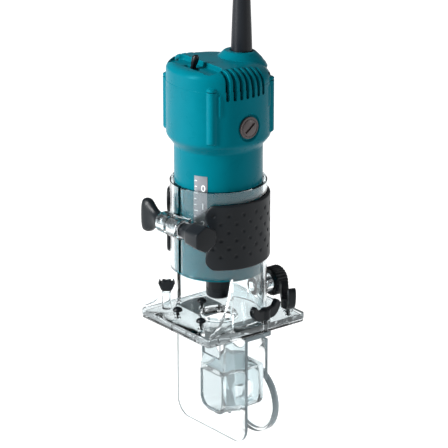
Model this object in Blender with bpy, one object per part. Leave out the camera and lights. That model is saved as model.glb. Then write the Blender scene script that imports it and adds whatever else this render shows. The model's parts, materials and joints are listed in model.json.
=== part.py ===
"""A corded trim router standing over its sole: lengths below are millimetres, the scene is in metres.

The origin is on the spindle axis in the plane of the sole, +Z is up the tool and the clamp faces -Y.
"""

import math

import bmesh
import bpy
from mathutils import Matrix, Vector

MM = 0.001
RING = 36  # points round the housing and the base
GAP = 0.35  # clearance left between pieces that touch on the real tool
FRONT = -90.0  # the clamp side, in degrees from +X

# Base
SOLE_X, SOLE_FRONT, SOLE_BACK, SOLE_CORNER = 41.0, -41.0, 49.0, 3.5
SHEET_TOP = 1.9  # the low-friction sheet under the plate
PLATE_BOTTOM, PLATE_TOP = 2.25, 6.6
BORE_R, WALL_R, WALL_TOP = 32.4, 35.3, 110.0
WINDOW_Y, WINDOW_TOP = -13.0, 44.0  # the wall is cut away in front of this line
SLIT = 3.0
BIT_OPENING_R = 13.5
CLAMP_Y, CLAMP_Z, EAR_R, EAR_END = -41.0, 82.5, 7.8, 11.6
BOLT_R = 3.0
GRIP_R, GRIP_LOW, GRIP_HIGH = 37.5, 52.0, 101.0
STUD_Z, BOSS_BACK = 19.0, 46.6
SHIELD_SCREW, GUIDE_SCREW, STOP_SCREW, STOP_POST_TOP = (37.0, 14.0), (30, 41), (-28.5, -26.0), 20.0

# Motor housing and head
BARREL_R, BARREL_INNER_R, BARREL_BOTTOM, NECK_Z = 32.0, 28.8, 41.0, 137.0
HEAD_HALF, HEAD_SQUARENESS, HEAD_Z, COVER_Z, HEAD_TOP = 36.0, 2.3, 144.0, 185.0, 199.4
SHELL = 3.0
COLUMN_AT, COLUMN_R, COLUMN_Z = 24.6, 5.2, 147.0
BRUSH_Z, BRUSH_CAP_R = 156.5, 8.0
VENT_COUNT, VENT_PITCH, VENT_WIDTH, VENT_FIRST_Y, VENT_LOW = 7, 5.1, 2.6, -17.0, 178.0
CORD_Y, CORD_R, GUARD_TOP = 21.0, 3.6, 262.0
LEVER_PIVOT = (-4.5, -21.0, 189.0)
LEVER_LEAN = 20.0

DISH, DISH_FLOOR = (-27.0, 25.0, -27.6, -13.5, 6.5), 195.6  # the lever's dish: X and Y limits, corner radius
WELL_R, SCREW_HEAD_R = 2.9, 2.4

# Spindle line
NUT_R, NUT_BOTTOM, NUT_TOP = 9.2, 19.0, 40.5
CORE_R, CORE_BOTTOM, CORE_TOP = 15.2, 96.0, 134.0
COMMUTATOR_R, COMMUTATOR_BOTTOM, COMMUTATOR_TOP = 10.0, 150.0, 166.5

# Clear guard under the sole
SHIELD_BACK, SHIELD_THICK, SHIELD_BOTTOM, SHIELD_CORNER = -4.9, 2.4, -85.0, 13.0
NOTCH_HALF, NOTCH_BOTTOM = 10.0, -27.0
WINDOW_HALF, WINDOW_HIGH, WINDOW_LOW = 12.6, -40.0, -69.0
DUCT_WALL, DUCT_BACK = 3.2, 30.0
DISC_R, DISC_Z, DISC_Y, DISC_THICK = 26.0, -70.0, 30.4, 2.6

# Cord: one smooth route over and down behind the tool, then a coil
FLOOR_Z = DISC_Z - DISC_R
COIL_X, COIL_Y, COIL_MEAN_R, COIL_LAYERS = 2.0, 294.0, 36.0, 4
COIL_TOP = FLOOR_Z + 2 * CORD_R * COIL_LAYERS
CORD_ROUTE = (
    (0, CORD_Y, 192),
    (0, CORD_Y, 228),
    (0, CORD_Y, 258),
    (0, 23, 285),
    (0, 36, 318),
    (0, 58, 344),
    (0, 90, 360),
    (0, 126, 362),
    (0, 160, 350),
    (0, 190, 326),
    (0, 214, 292),
    (3.5, 231, 250),
    (13, 241, 200),
    (24, 247, 145),
    (33, 250.5, 90),
    (38.6, 252.4, 35),
    (40.9, 252.9, -10),
    (41.2, 253, -38),
    (41.2, 253, -50),
    (41.2, 253, -60.85),
    (38.9, 252.6, -72.9),
    (32.1, 251.4, -83.12),
    (22.1, 249.6, -89.95),
    (10.2, 247.5, -92.35),
)
PLUG_BEND_R, PLUG_RELIEF, PLUG_LENGTH, PIN_LENGTH, PIN_APART = 30.0, 26.0, 66.0, 17.0, 6.35
PLUG_SECTIONS = (  # along the plug, half its width, half its height
    (0, 4.7, 4.7),
    (12, 5.5, 5.5),
    (24, 6.2, 6.2),
    (26.5, 7.6, 6.8),
    (30, 9.2, 7.8),
    (61, 9.2, 7.8),
    (PLUG_LENGTH, 8.2, 6.8),
)


def clear_scene():
    for obj in list(bpy.data.objects):
        bpy.data.objects.remove(obj, do_unlink=True)


def finish(colour, roughness, metallic=0.0):
    """What a piece is coloured with: its material is made under the piece's own name."""
    return colour, roughness, metallic


TEAL = finish((0.0, 0.19, 0.25), 0.35)
BLACK = finish((0.018, 0.019, 0.022), 0.5)
RUBBER = finish((0.012, 0.012, 0.013), 0.7)
CLEAR = finish((0.86, 0.92, 0.94), 0.08)
STEEL = finish((0.55, 0.56, 0.58), 0.3, 1.0)
DARK_STEEL = finish((0.06, 0.06, 0.065), 0.4, 1.0)
COPPER = finish((0.72, 0.33, 0.16), 0.35, 1.0)
LAMINATION = finish((0.2, 0.2, 0.21), 0.5, 1.0)
CARBON = finish((0.03, 0.03, 0.03), 0.6)
PHENOLIC = finish((0.11, 0.07, 0.06), 0.45)
ALUMINIUM = finish((0.6, 0.61, 0.63), 0.35, 1.0)
BRASS = finish((0.75, 0.55, 0.25), 0.3, 1.0)


def make(name, points, faces, look):
    """One closed mesh object with its faces turned outwards and smooth round sides."""
    mesh = bpy.data.meshes.new(name)
    mesh.from_pydata([Vector(p) * MM for p in points], [], faces)
    shape = bmesh.new()
    shape.from_mesh(mesh)
    bmesh.ops.recalc_face_normals(shape, faces=shape.faces)
    shape.to_mesh(mesh)
    shape.free()
    mesh.shade_smooth()
    mesh.set_sharp_from_angle(angle=math.radians(35))
    obj = bpy.data.objects.new(name, mesh)
    bpy.context.scene.collection.objects.link(obj)
    paint(obj, look)
    return obj


def paint(obj, look):
    colour, roughness, metallic = look
    material = bpy.data.materials.new(obj.name)
    material.use_nodes = True
    shader = material.node_tree.nodes["Principled BSDF"]
    shader.inputs["Base Color"].default_value = (*colour, 1.0)
    shader.inputs["Roughness"].default_value = roughness
    shader.inputs["Metallic"].default_value = metallic
    obj.data.materials.append(material)


def lofted(name, rings, look, through=False, laddered=False):
    """A body through rings of equal point counts. through joins the last ring to the first.

    laddered closes each end ring, whose halves face each other, with a strip of quads.
    """
    count = len(rings[0])
    points = [p for ring in rings for p in ring]
    faces = []
    for i in range(len(rings) if through else len(rings) - 1):
        a, b = i * count, (i + 1) % len(rings) * count
        faces += [
            (a + j, a + (j + 1) % count, b + (j + 1) % count, b + j) for j in range(count)
        ]
    for first in () if through else (0, (len(rings) - 1) * count):
        if laddered:
            faces += [
                (first + j, first + j + 1, first + count - 2 - j, first + count - 1 - j)
                for j in range(count // 2 - 1)
            ]
        else:
            faces.append(tuple(range(first, first + count)))
    return make(name, points, faces, look)


def turned(name, profile, look, segments=24):
    """A body turned about Z from (radius, height) points, with closed ends unless it has a bore."""
    angles = [2 * math.pi * k / segments for k in range(segments)]
    rings = [[(r * math.cos(a), r * math.sin(a), z) for a in angles] for r, z in profile]
    return lofted(name, rings, look)


def bored(name, profile, look, segments=24):
    """As turned, for a closed profile that stays clear of the axis."""
    angles = [2 * math.pi * k / segments for k in range(segments)]
    rings = [[(r * math.cos(a), r * math.sin(a), z) for a in angles] for r, z in profile]
    return lofted(name, rings, look, through=True)


def tube_profile(inner, outer, low, high):
    return [(inner, low), (outer, low), (outer, high), (inner, high)]


def cylinder(name, radius, low, high, look, segments=20):
    return turned(name, [(radius, low), (radius, high)], look, segments)


def prism(name, outline, low, high, look):
    """An outline in X and Y, extruded from low to high."""
    rings = [[(x, y, z) for x, y in outline] for z in (low, high)]
    return lofted(name, rings, look)


def block(name, low, high, look):
    outline = [(low[0], low[1]), (high[0], low[1]), (high[0], high[1]), (low[0], high[1])]
    return prism(name, outline, low[2], high[2], look)


def arc(x, y, radius, start, end, steps):
    """Points of an arc, with both ends, in degrees."""
    turns = [math.radians(start + (end - start) * k / steps) for k in range(steps + 1)]
    return [(x + radius * math.cos(a), y + radius * math.sin(a)) for a in turns]


def rounded(x0, x1, y0, y1, radius, steps=4):
    """A rectangle with round corners."""
    return (
        arc(x1 - radius, y1 - radius, radius, 0, 90, steps)
        + arc(x0 + radius, y1 - radius, radius, 90, 180, steps)
        + arc(x0 + radius, y0 + radius, radius, 180, 270, steps)
        + arc(x1 - radius, y0 + radius, radius, 270, 360, steps)
    )


def moved(obj, offset=(0, 0, 0), axis="Z"):
    """Lays a body made about Z along the given axis, then shifts it."""
    turns = {
        "X": Matrix.Rotation(math.radians(90), 4, "Y"),
        "Y": Matrix.Rotation(math.radians(-90), 4, "X"),
        "Z": Matrix.Identity(4),
    }
    obj.data.transform(Matrix.Translation(Vector(offset) * MM) @ turns[axis])
    return obj


def standing(obj, y):
    """Turns an outline drawn in X and Z, extruded from 0, to stand at y with its depth towards +Y."""
    obj.data.transform(
        Matrix.Translation((0, y * MM, 0)) @ Matrix(((1, 0, 0, 0), (0, 0, 1, 0), (0, 1, 0, 0), (0, 0, 0, 1)))
    )
    obj.data.flip_normals()
    return obj


def mirrored(obj):
    """The same body on the other side of X = 0."""
    obj.data.transform(Matrix.Scale(-1, 4, (1, 0, 0)))
    obj.data.flip_normals()
    return obj


def combine(obj, other, operation):
    other.hide_render = True
    other.display_type = "WIRE"
    step = obj.modifiers.new(other.name, "BOOLEAN")
    step.operation = operation
    step.object = other
    return obj


def cut(obj, other):
    return combine(obj, other, "DIFFERENCE")


def add(obj, other):
    return combine(obj, other, "UNION")


def pivot(obj, point):
    """Moves the origin to a point on the piece's joint axis."""
    place = Vector(point) * MM
    obj.data.transform(Matrix.Translation(-place))
    obj.location = place
    return obj


# ---- base -------------------------------------------------------------------


def sole_outline(margin=0.0):
    return rounded(
        -SOLE_X + margin, SOLE_X - margin, SOLE_FRONT + margin, SOLE_BACK - margin, SOLE_CORNER - margin
    )


def base_fin(name, side):
    """The web from the wall's cut edge out to a front corner, with a hollow upper edge."""
    length, low, high = 25.0, PLATE_TOP - 0.6, WINDOW_TOP + 1
    shares = (0, 0.1, 0.22, 0.36, 0.52, 0.7, 0.86, 1)
    curve = [(length * t, low + 3 + (high - low - 3) * (1 - t) ** 2.6) for t in shares]
    outline = [(0, low), (length, low), *reversed(curve)]
    fin = prism(name, outline, -1.2, 1.2, CLEAR)
    lean = math.atan2(6.0, 26.5)
    stand = Matrix(((0, 0, 1, 0), (-1, 0, 0, 0), (0, 1, 0, 0), (0, 0, 0, 1)))
    place = Matrix.Translation(Vector((33.7, WINDOW_Y - 0.7, 0)) * MM) @ Matrix.Rotation(lean, 4, "Z")
    fin.data.transform(place @ stand)
    return fin if side > 0 else mirrored(fin)


def base_plate():
    plate = prism("base_plate", sole_outline(), PLATE_BOTTOM, PLATE_TOP, CLEAR)
    for index, (x, y) in enumerate((SHIELD_SCREW, GUIDE_SCREW)):
        pad = cylinder(f"pad_form_{index}", 3.95, PLATE_TOP - 1, PLATE_TOP + 1.4, CLEAR, 12)
        add(plate, moved(pad, (x, y, 0)))
        hole = cylinder(f"pad_hole_{index}", 2.35, 0, PLATE_TOP + 3, CLEAR, 8)
        cut(plate, moved(hole, (x, y, 0)))
    for side in (-1, 1):
        add(plate, base_fin(f"fin_form_{side + 1}", side))
    post = cylinder("post_form", 3.4, PLATE_TOP - 1, STOP_POST_TOP, CLEAR, 12)
    add(plate, moved(post, (*STOP_SCREW, 0)))
    thread = cylinder("post_cut", 2.35, STOP_POST_TOP - 10, STOP_POST_TOP + 1, CLEAR, 8)
    cut(plate, moved(thread, (*STOP_SCREW, 0)))
    cut(plate, cylinder("bit_cut", BIT_OPENING_R, -1, PLATE_TOP + 3, CLEAR, 28))
    for index, (x, y) in enumerate(SCREW_PLACES):
        hole = cylinder(f"sole_hole_{index}", 1.7, 0, PLATE_TOP + 3, CLEAR, 8)
        cut(plate, moved(hole, (x, y, 0)))
    return plate


def base_wall():
    """The sleeve over the plate, with its clamp ears, its window and the boss for the guide's stud."""
    low = PLATE_TOP + GAP
    wall = bored("base_wall", tube_profile(BORE_R, WALL_R, low, WALL_TOP), CLEAR, RING)
    ears = moved(cylinder("ear_form", EAR_R, -EAR_END, EAR_END, CLEAR), (0, CLAMP_Y, CLAMP_Z), "X")
    add(wall, ears)
    web = block("ear_web_form", (-EAR_END, CLAMP_Y, CLAMP_Z - 6.5), (EAR_END, -31, CLAMP_Z + 6.5), CLEAR)
    add(wall, web)
    boss = moved(cylinder("boss_form", 7.0, 33.5, BOSS_BACK, CLEAR), (0, 0, STUD_Z), "Y")
    add(wall, boss)
    cut(wall, block("window_cut", (-38, -60, low - 1), (38, WINDOW_Y, WINDOW_TOP), CLEAR))
    cut(wall, block("slit_cut", (-SLIT / 2, -55, 40), (SLIT / 2, -30, WALL_TOP + 2), CLEAR))
    for index, (x, y) in enumerate((SHIELD_SCREW, GUIDE_SCREW)):
        room = cylinder(f"pad_room_{index}", 3.95 + GAP, low - 1, PLATE_TOP + 1.4 + GAP, CLEAR, 12)
        cut(wall, moved(room, (x, y, 0)))
    cut(wall, cylinder("bore_cut", BORE_R, low - 1, WALL_TOP + 2, CLEAR, RING))
    bolt = cylinder("bolt_cut", BOLT_R + GAP, -20, 20, CLEAR, 16)
    cut(wall, moved(bolt, (0, CLAMP_Y, CLAMP_Z), "X"))
    stud = cylinder("stud_cut", BOLT_R + GAP, 30, 50, CLEAR, 16)
    cut(wall, moved(stud, (0, 0, STUD_Z), "Y"))
    return wall


SCREW_PLACES = ((-17.5, -2), (-34, 27), (14, -27), (-14, -27))


def base_protector():
    sheet = prism("base_protector", sole_outline(0.4), 0, SHEET_TOP, finish((0.75, 0.8, 0.82), 0.2))
    cut(sheet, cylinder("protector_bit_cut", BIT_OPENING_R + 1, -1, 4, CLEAR, 28))
    for index, (x, y) in enumerate((*SCREW_PLACES, SHIELD_SCREW, GUIDE_SCREW)):
        hole = cylinder(f"protector_hole_{index}", 2.35, -1, 4, CLEAR, 8)
        cut(sheet, moved(hole, (x, y, 0)))
    return sheet


def sole_screws():
    """Dome-headed screws that hold the sheet to the plate."""
    for index, (x, y) in enumerate(SCREW_PLACES):
        profile = [(1.25, 0.4), (1.25, 9.4), (3.7, 9.4), (3.1, 11.2), (1.2, 12.1)]
        moved(turned(f"sole_screw_{index + 1}", profile, BLACK, 12), (x, y, 0))


def grip_edge(z):
    """The angle of the grip's front edge: two round corners and a waist behind the clamp."""
    middle, half = 76.5, 24.5
    t = (z - middle) / half
    waist = 12 * math.exp(-((t / 0.34) ** 2))
    corner = 9 * max(0.0, (abs(t) - 0.72) / 0.28) ** 2
    return -53 + waist + corner


def rubber_grip():
    low, high, rows, columns = GRIP_LOW, GRIP_HIGH, 10, 24
    heights = [low + (high - low) * k / rows for k in range(rows + 1)]
    rings = []
    for k in range(columns + 1):
        ring = []
        for inner, order in ((False, heights), (True, list(reversed(heights)))):
            for z in order:
                start = grip_edge(z)
                angle = math.radians(start + (180 - 2 * start) * k / columns)
                radius = WALL_R + 0.7 if inner else GRIP_R
                ring.append((radius * math.cos(angle), radius * math.sin(angle), z))
        rings.append(ring)
    return lofted("rubber_grip", rings, RUBBER, laddered=True)


def clamp():
    y, z = CLAMP_Y, CLAMP_Z
    bolt = moved(cylinder("clamp_bolt", BOLT_R, -22, 34, STEEL, 16), (0, y, z), "X")
    for name, x in (("clamp_washer_left", -13.0), ("clamp_washer_right", EAR_END + GAP)):
        profile = tube_profile(BOLT_R + GAP, 6.2, 0, 1.0)
        moved(bored(name, profile, STEEL, 24), (x, y, z), "X")
    sections = ((13.4, 5.6), (17.0, 6.2), (24.0, 8.4), (37.0, 10.1), (39.0, 9.2))
    rings = []
    for x, radius in sections:
        corners = [math.radians(60 * k + 30) for k in range(6)]
        rings.append([(x, y + radius * math.cos(a), z + radius * math.sin(a)) for a in corners])
    cap = lofted("clamp_hex_cap", rings, BLACK)
    socket = cylinder("hex_cap_cut", BOLT_R + GAP, 12, 34.5, BLACK, 16)
    cut(cap, moved(socket, (0, y, z), "X"))
    knob()
    return bolt


def knob():
    """The flat wing knob: a round neck that spreads into an upright bar with a thick end."""
    y, z = CLAMP_Y, CLAMP_Z
    sections = (
        (-13.4, 5.4, 5.4),
        (-16.8, 5.0, 5.6),
        (-21.2, 4.2, 8.2),
        (-25.6, 4.0, 11.2),
        (-28.8, 4.8, 12.3),
        (-32.4, 4.6, 12.2),
        (-33.4, 3.4, 11.0),
    )
    rings = []
    for x, half_y, half_z in sections:
        angles = [2 * math.pi * k / 24 for k in range(24)]
        rings.append([(x, y + half_y * math.cos(a), z + half_z * math.sin(a)) for a in angles])
    wing = lofted("wing_knob", rings, BLACK)
    socket = cylinder("knob_cut", BOLT_R + GAP, -22.5, -12, BLACK, 16)
    cut(wing, moved(socket, (0, y, z), "X"))
    return pivot(wing, (0, y, z))


def guide_clamp():
    """The knurled screw at the back that holds a guide."""
    stud = moved(cylinder("guide_clamp_stud", BOLT_R, 36, 51, STEEL, 16), (0, 0, STUD_Z), "Y")
    teeth, rings = 22, []
    for height, low, high in ((47.1, 9.6, 9.9), (48.0, 10.3, 11.0), (57.0, 10.3, 11.0), (58.2, 9.4, 9.6)):
        radii = [low if k % 2 else high for k in range(2 * teeth)]
        angles = [math.pi * k / teeth for k in range(2 * teeth)]
        rings.append(
            [(r * math.cos(a), r * math.sin(a), height) for r, a in zip(radii, angles, strict=True)]
        )
    grip = lofted("guide_clamp_knob", rings, BLACK)
    socket = cylinder("guide_knob_cut", BOLT_R + GAP, 46, 51.5, BLACK, 16)
    for piece in (grip, socket):
        moved(piece, (0, 0, STUD_Z), "Y")
    cut(grip, socket)
    pivot(grip, (0, 52, STUD_Z))
    return stud


def wing_screw(name, place, turn, hub_r, reach, height):
    """A thumbscrew on an upright axis, set at place: hub, two wings and a short shank."""
    x, y, low = place
    hub = cylinder(name, hub_r, low, low + 9, BLACK, 16)
    blade = [
        (0.5, 0.2), (0.6 * reach, 1), (0.95 * reach, 6), (reach, height - 4),
        (0.8 * reach, height - 1), (0.58 * reach, height - 4.5), (0.5 * reach, 8.6), (0.5, 8.2),
    ]
    outline = blade + [(-u, w) for u, w in reversed(blade)]
    wings = moved(standing(prism(name + "_wings", outline, -2.1, 2.1, BLACK), 0), (0, 0, low))
    shank = cylinder(name + "_shank", 2.0, low - 9, low + 3, BLACK, 10)
    for piece in (hub, wings, shank):
        piece.matrix_world = Matrix.Translation(Vector((x, y, 0)) * MM) @ Matrix.Rotation(
            math.radians(turn), 4, "Z"
        )
    return add(add(hub, wings), shank)


def wing_screws():
    low = PLATE_TOP + 1.4 + GAP
    wing_screw("wing_screw_shield", (*SHIELD_SCREW, low), 99, 3.7, 14.5, 14)
    wing_screw("wing_screw_guide", (*GUIDE_SCREW, low + 1.0), -20, 5.2, 10.5, 19)
    wing_screw("wing_screw_stop", (*STOP_SCREW, STOP_POST_TOP + GAP), 52, 3.6, 6.2, 10)


# ---- clear guard ------------------------------------------------------------


def front_shield():
    half, top, low, corner = SOLE_X, -GAP, SHIELD_BOTTOM, SHIELD_CORNER
    outline = (
        [(-half, top)]
        + arc(-half + corner, low + corner, corner, 180, 270, 6)
        + arc(half - corner, low + corner, corner, 270, 360, 6)
        + [(half, top), (18, top), (12, -4), (NOTCH_HALF, -9)]
        + [(NOTCH_HALF, NOTCH_BOTTOM), (-NOTCH_HALF, NOTCH_BOTTOM), (-NOTCH_HALF, -9), (-12, -4), (-18, top)]
    )
    front = SHIELD_BACK - SHIELD_THICK
    shield = standing(prism("front_shield", outline, 0, SHIELD_THICK, CLEAR), front)
    window = arc(-WINDOW_HALF + 8, WINDOW_LOW + 8, 8, 180, 270, 5) + arc(
        WINDOW_HALF - 8, WINDOW_LOW + 8, 8, 270, 360, 5
    )
    window += [(WINDOW_HALF, WINDOW_HIGH), (-WINDOW_HALF, WINDOW_HIGH)]
    hole = standing(prism("shield_window_cut", window, -2, SHIELD_THICK + 2, CLEAR), front)
    cut(shield, hole)
    for side in (-1, 1):
        flange = prism(
            f"flange_form_{side + 1}",
            rounded(17.4, half - 0.05, front + 0.1, 17.5, 2.2),
            -3.3,
            -GAP - 0.02,
            CLEAR,
        )
        add(shield, flange if side > 0 else mirrored(flange))
    hole = cylinder("flange_hole", 2.35, -8, 2, CLEAR, 10)
    cut(shield, moved(hole, (*SHIELD_SCREW, 0)))
    return shield


def duct_outline(margin):
    half = WINDOW_HALF + margin
    radius = 8 + margin
    outline = arc(-half + radius, WINDOW_LOW - margin + radius, radius, 180, 270, 5)
    outline += arc(half - radius, WINDOW_LOW - margin + radius, radius, 270, 360, 5)
    return [*outline, (half, WINDOW_HIGH + margin), (-half, WINDOW_HIGH + margin)]


def chip_duct():
    start = SHIELD_BACK + GAP
    duct = standing(
        prism("chip_duct", duct_outline(DUCT_WALL), 0, DUCT_BACK - start, CLEAR), start
    )
    hollow = prism("duct_hollow_cut", duct_outline(0), -2, DUCT_BACK - start - 3, CLEAR)
    cut(duct, standing(hollow, start))
    side = [(4, -47), (20, -47), (20, -62), (4, -62)]
    opening = prism("duct_side_cut", side, 10, 20, CLEAR)
    opening.data.transform(Matrix(((0, 0, 1, 0), (1, 0, 0, 0), (0, 1, 0, 0), (0, 0, 0, 1))))
    cut(duct, opening)
    for side in (-1, 1):
        cheek = [(start, -27), (start, -38), (13, -38), (10, -31), (1.5, -14.5), (start, -14.5)]
        wall = prism(f"cheek_form_{side + 1}", cheek, 12.8, 15.4, CLEAR)
        wall.data.transform(Matrix(((0, 0, 1, 0), (1, 0, 0, 0), (0, 1, 0, 0), (0, 0, 0, 1))))
        add(duct, wall if side > 0 else mirrored(wall))
    return duct


def rear_shield():
    neck = [(17, -17.5), (-17, -17.5)]
    span = math.degrees(math.asin(17 / DISC_R))
    outline = arc(0, DISC_Z, DISC_R, 90 + span, 450 - span, 24) + neck
    disc = standing(prism("rear_shield", outline, 0, DISC_THICK, CLEAR), DISC_Y)
    rim = bored("rim_form", tube_profile(DISC_R - 2.4, DISC_R - 0.03, 0.5, 6.4), CLEAR, 30)
    add(disc, moved(rim, (0, DISC_Y, DISC_Z), "Y"))
    return disc


# ---- motor unit -------------------------------------------------------------


def head_ring(half, power, z, count=RING):
    """One level of the head: a rounded square, drawn as a superellipse."""
    ring = []
    for k in range(count):
        a = 2 * math.pi * k / count
        reach = half / (abs(math.cos(a)) ** power + abs(math.sin(a)) ** power) ** (1 / power)
        ring.append((reach * math.cos(a), reach * math.sin(a), z))
    return ring


def motor_housing():
    bottom, square = BARREL_BOTTOM, HEAD_SQUARENESS
    outside = (
        (30.6, 2, bottom), (BARREL_R, 2, bottom + 1.4), (BARREL_R, 2, NECK_Z),
        (33.2, 2.05, NECK_Z + 2.4), (35.2, 2.2, HEAD_Z - 1.2), (HEAD_HALF, square, HEAD_Z + 1.5),
        (HEAD_HALF, square, COVER_Z),
    )
    inside = (
        (HEAD_HALF - SHELL, square, COVER_Z), (HEAD_HALF - SHELL, square, HEAD_Z + 1),
        (BARREL_INNER_R, 2, NECK_Z), (BARREL_INNER_R, 2, 48), (17, 2, 48), (17, 2, 58),
        (13.35, 2, 58), (13.35, 2, 48), (9.8, 2, 48), (9.8, 2, 44), (28.5, 2, 44), (28.5, 2, bottom),
    )
    rings = [head_ring(half, power, z) for half, power, z in (*outside, *inside)]
    housing = lofted("motor_housing", rings, TEAL, through=True)
    for index, (sx, sy) in enumerate(((1, 1), (-1, 1), (-1, -1), (1, -1))):
        column = cylinder(f"column_form_{index}", COLUMN_R, COLUMN_Z, COVER_Z, TEAL, 16)
        add(housing, moved(column, (sx * COLUMN_AT, sy * COLUMN_AT, 0)))
        bore = cylinder(f"column_cut_{index}", 1.75, COVER_Z - 22, COVER_Z + 2, TEAL, 8)
        cut(housing, moved(bore, (sx * COLUMN_AT, sy * COLUMN_AT, 0)))
    for side in (-1, 1):
        seat = cylinder(f"cap_seat_cut_{side + 1}", BRUSH_CAP_R + 1.6, 34.3, 40, TEAL, 32)
        bore = cylinder(f"cap_bore_cut_{side + 1}", 6.9, 28, 40, TEAL, 24)
        for tool in (seat, bore):
            moved(tool, (0, 0, BRUSH_Z), "X")
            cut(housing, tool if side > 0 else mirrored(tool))
    add_vents(housing, VENT_LOW, COVER_Z + 1)
    return housing


def add_vents(obj, low, high):
    """Slots through both side walls, from low to high."""
    for side in (-1, 1):
        rings = []
        for z in (low, high):
            row = []
            for k in range(VENT_COUNT):
                y = VENT_FIRST_Y + VENT_PITCH * k
                near, far = y - VENT_WIDTH / 2, y + VENT_WIDTH / 2
                row.append([(25.3, near, z), (42, near, z), (42, far, z), (25.3, far, z)])
            rings.append(row)
        points, faces = [], []
        for below, above in zip(*rings, strict=True):
            first = len(points)
            points += below + above
            faces += [(first, first + 1, first + 2, first + 3)]
            faces += [(first + 4, first + 5, first + 6, first + 7)]
            faces += [
                (first + j, first + (j + 1) % 4, first + 4 + (j + 1) % 4, first + 4 + j)
                for j in range(4)
            ]
        comb = make(f"{obj.name}_vents_{side + 1}", points, faces, TEAL)
        cut(obj, comb if side > 0 else mirrored(comb))


def shoulder(angle):
    """How far the top edge rounds over: tight at the front, wide at the back."""
    towards_front = math.cos(angle - math.radians(FRONT))
    if towards_front > 0:
        return 12.5 - 8.5 * towards_front ** 0.8
    return 12.5 + 5.0 * (-towards_front) ** 0.8


def cover_ring(share, inset, top, count=RING):
    """One level of the top cover, share going from 0 at its seam to 1 at its roof."""
    ring = []
    for x, y, _ in head_ring(HEAD_HALF - 0.9 - inset, HEAD_SQUARENESS, 0, count):
        turn = math.atan2(y, x)
        reach, radius = math.hypot(x, y), shoulder(turn)
        if inset:
            radius = min(7.0, max(2.0, radius - inset))
        bend = math.radians(90 * share)
        scale = (reach - radius * (1 - math.cos(bend))) / reach
        drop = min(radius, top - COVER_Z - 0.8)
        ring.append((x * scale, y * scale, top - drop * (1 - math.sin(bend))))
    return ring


def top_cover():
    seam = COVER_Z + GAP
    flat = [(x, y, seam) for x, y, _ in head_ring(HEAD_HALF - 0.9, HEAD_SQUARENESS, 0)]
    levels = (0, 0.35, 0.7, 1)
    outside = [flat] + [cover_ring(share, 0, HEAD_TOP) for share in levels]
    cover = lofted("top_cover", outside, TEAL)
    inner_flat = [(x, y, seam - 2) for x, y, _ in head_ring(HEAD_HALF - 3.8, HEAD_SQUARENESS, 0)]
    inside = [inner_flat] + [cover_ring(share, 2.9, HEAD_TOP - 7.5) for share in (0, 0.5, 1)]
    for index, (sx, sy) in enumerate(((1, 1), (-1, 1), (-1, -1), (1, -1))):
        foot = cylinder(f"foot_form_{index}", COLUMN_R, seam, seam + 2.4, TEAL, 16)
        add(cover, moved(foot, (sx * COLUMN_AT, sy * COLUMN_AT, 0)))
    collar = turned("collar_form", [(15.5, 193), (14.0, 199.5), (11.0, 204.5), (9.2, 205)], TEAL, 32)
    add(cover, moved(collar, (0, CORD_Y - 1.5, 0)))
    cut(cover, lofted("cover_hollow_cut", inside, TEAL))
    for index, (sx, sy) in enumerate(((1, 1), (-1, 1), (-1, -1), (1, -1))):
        bore = cylinder(f"foot_cut_{index}", 1.75, seam - 2, seam + 4, TEAL, 8)
        well = cylinder(f"foot_well_{index}", WELL_R, seam + 2.4, HEAD_TOP + 2, TEAL, 14)
        for tool in (bore, well):
            cut(cover, moved(tool, (sx * COLUMN_AT, sy * COLUMN_AT, 0)))
    x, y, z = LEVER_PIVOT
    dish = prism("lever_dish_cut", rounded(*DISH), DISH_FLOOR, HEAD_TOP + 4, TEAL)
    cut(cover, dish)
    slot = prism("lever_slot_cut", rounded(x - 8, x + 8, y - 2.9, y + 2.9, 1.5), z - 2, HEAD_TOP, TEAL)
    cut(cover, slot)
    cut(cover, moved(cylinder("cord_cut", 8.1, 180, 215, TEAL, 24), (0, CORD_Y, 0)))
    add_vents(cover, COVER_Z - 1, HEAD_TOP + 2)
    return cover


def cover_screws():
    low = COVER_Z + GAP + 2.4 + GAP
    for index, (sx, sy) in enumerate(((1, 1), (-1, 1), (-1, -1), (1, -1))):
        profile = [
            (1.25, low - 19), (1.35, low), (SCREW_HEAD_R, low), (SCREW_HEAD_R, low + 1.6), (1.7, low + 2.3),
        ]
        screw = turned(f"cover_screw_{index + 1}", profile, DARK_STEEL, 10)
        moved(screw, (sx * COLUMN_AT, sy * COLUMN_AT, 0))


def cord_guard():
    bore = CORD_R + 0.45
    profile = [
        (bore, 187.9), (9.1, 187.9), (9.1, 189.6), (7.7, 190.2), (7.7, 204), (5.5, GUARD_TOP - 2),
        (4.9, GUARD_TOP), (bore, GUARD_TOP),
    ]
    return moved(bored("cord_guard", profile, RUBBER, 24), (0, CORD_Y, 0))


def switch():
    x, y, z = LEVER_PIVOT
    body = block("switch_body", (-13, -29, 177.6), (11, -13, 185.6), BLACK)
    for index, (low, high) in enumerate(((y - 6.4, y - 4.4), (y + 4.4, y + 6.4))):
        cheek = block(f"switch_cheek_{index}", (x - 4, low, 185), (x + 4, high, 191.4), BLACK)
        add(body, cheek)
    pin = cylinder("lever_pin_cut", 1.2, -12, 12, BLACK, 12)
    cut(body, moved(pin, (x, y, z), "Y"))
    lever = moved(cylinder("switch_lever", 2.6, -4.0, 4.0, BLACK, 20), (0, 0, 0), "Y")
    arm = prism("lever_arm_form", rounded(-1.7, 1.7, -2.2, 2.2, 0.8, 2), 1, 17.6, BLACK)
    add(lever, arm)
    add(lever, moved(cylinder("lever_pins_form", 0.85, -6.2, 6.2, BLACK, 12), (0, 0, 0), "Y"))
    for piece in (lever, arm, bpy.data.objects["lever_pins_form"]):
        piece.matrix_world = Matrix.Translation(Vector(LEVER_PIVOT) * MM) @ Matrix.Rotation(
            math.radians(LEVER_LEAN), 4, "Y"
        )
    return body


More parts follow.
